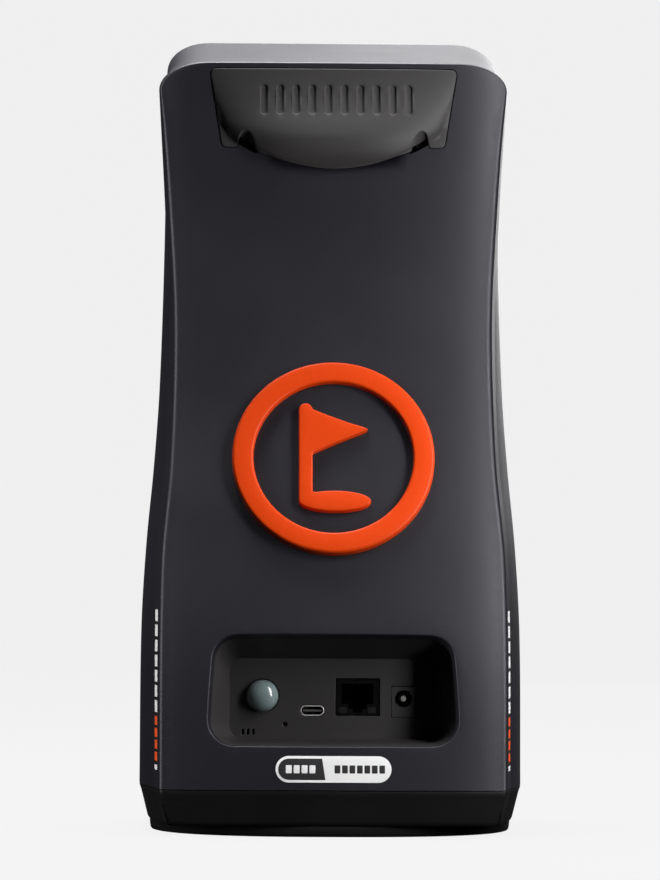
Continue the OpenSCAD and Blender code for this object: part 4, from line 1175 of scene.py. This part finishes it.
def glass_plate(name, size, node, material):
    """Polished plate with softened front edges, seated in its opening."""
    w, h, r, up = size
    build = Builder()
    loop = rounded_rect(w, h, r, 10, (0, up), 6)
    rows = [build.add([from_front(u, v, depth) for u, v in offset_loop(loop, -shrink)])
            for shrink, depth in ((0.0, 2.0), (0.0, 0.55), (0.12, 0.38), (0.4, 0.3))]
    build.join(rows, closed=True)
    add_patch(build, offset_loop(loop, -0.4), [], 8, lambda u, v: from_front(u, v, 0.3))
    add_patch(build, loop, [], 8, lambda u, v: from_front(u, v, 2.0))
    plate = build.make(name)
    smooth_by_angle(plate, 30)
    finish_piece(plate, material, [node])


# ---------------------------------------------------------------- finishes of the CAD nodes that stay

SLOTS = {row["slot"]: row for row in frame["record"]["materials"]}
FINISHES = {
    "matte_plastic": dict(roughness=0.58, grain=1200, depth=0.02, tint=0.08),
    "gloss_plastic": dict(roughness=0.2, grain=500, depth=0.004, coat=0.3),
    "brushed_steel": dict(roughness=0.3, grain=420, depth=0.008, metallic=1, stretch=(1, 8, 1)),
    "aluminium": dict(roughness=0.45, grain=1500, depth=0.015, metallic=1),
    "painted_metal": dict(roughness=0.35, grain=900, depth=0.01, coat=0.2),
    "rubber": dict(roughness=0.85, grain=700, depth=0.04, specular=0.3),
    "brass": dict(roughness=0.25, grain=600, depth=0.006, metallic=1, stretch=(6, 1, 1)),
    "glass": dict(roughness=0.04, grain=300, depth=0.001, spread=0.01, transmission=0.85, coat=0.5),
}
SPECIAL = {
    "ethernet_shield": dict(colour=(0.0018, 0.0017, 0.0017), metallic=0, roughness=0.6, specular=0.06),
    "ethernet_housing": dict(colour=(0.0022, 0.0022, 0.0022), specular=0.08),
    "ethernet_light_pipes": dict(colour=(0.007, 0.007, 0.007), roughness=0.4, coat=0, specular=0.3),
    "dc_jack_body": dict(colour=(0.026, 0.0235, 0.0235)),
    "dc_jack_contact": dict(colour=(0.06, 0.06, 0.06)),
    "dc_jack_pin": dict(colour=(0.8, 0.79, 0.77), metallic=0.5, roughness=0.35),
    "usb_tongue": dict(colour=(0.05, 0.049, 0.048), roughness=0.7),
}


def node_finish(name):
    """Material of a CAD node: its class's grain and gloss, its own colour."""
    row = SLOTS[name]
    look = dict(FINISHES[row["class"]], colour=tuple(row["base_color"][:3]))
    look.update(SPECIAL.get(name, {}))
    return plastic(name + "_finish", **look)


def finish_nodes(shown):
    """Gives each CAD node that stays visible its finish."""
    for name in shown:
        material = node_finish(name)
        for slot in NODES[name].material_slots:
            slot.material = material


add_rear_shell()
add_grip()
add_grip_screws()
add_front_shell()
add_base()
add_port_bay()
add_port_panel()
add_button()
add_usb_socket()
add_ring()
add_sign()
add_label()
add_side_marks()
glass_plate("lens_window_plate", WINDOW, "lens_window", node_finish("lens_window"))
glass_plate("display_plate", DISPLAY, "display_glass", node_finish("display_glass"))
finish_nodes(sorted(set(NODES) - REPLACED))

flagged = [NODES["dc_jack_body"], NODES["ethernet_housing"]]
flagged += [bpy.data.objects[name] for name in ("port_bay_skin", "port_panel_skin", "grip_skin", "sign_ring",
                                                "sign_flag")]
spare_from(bpy.data.objects["left_strip"], flagged)
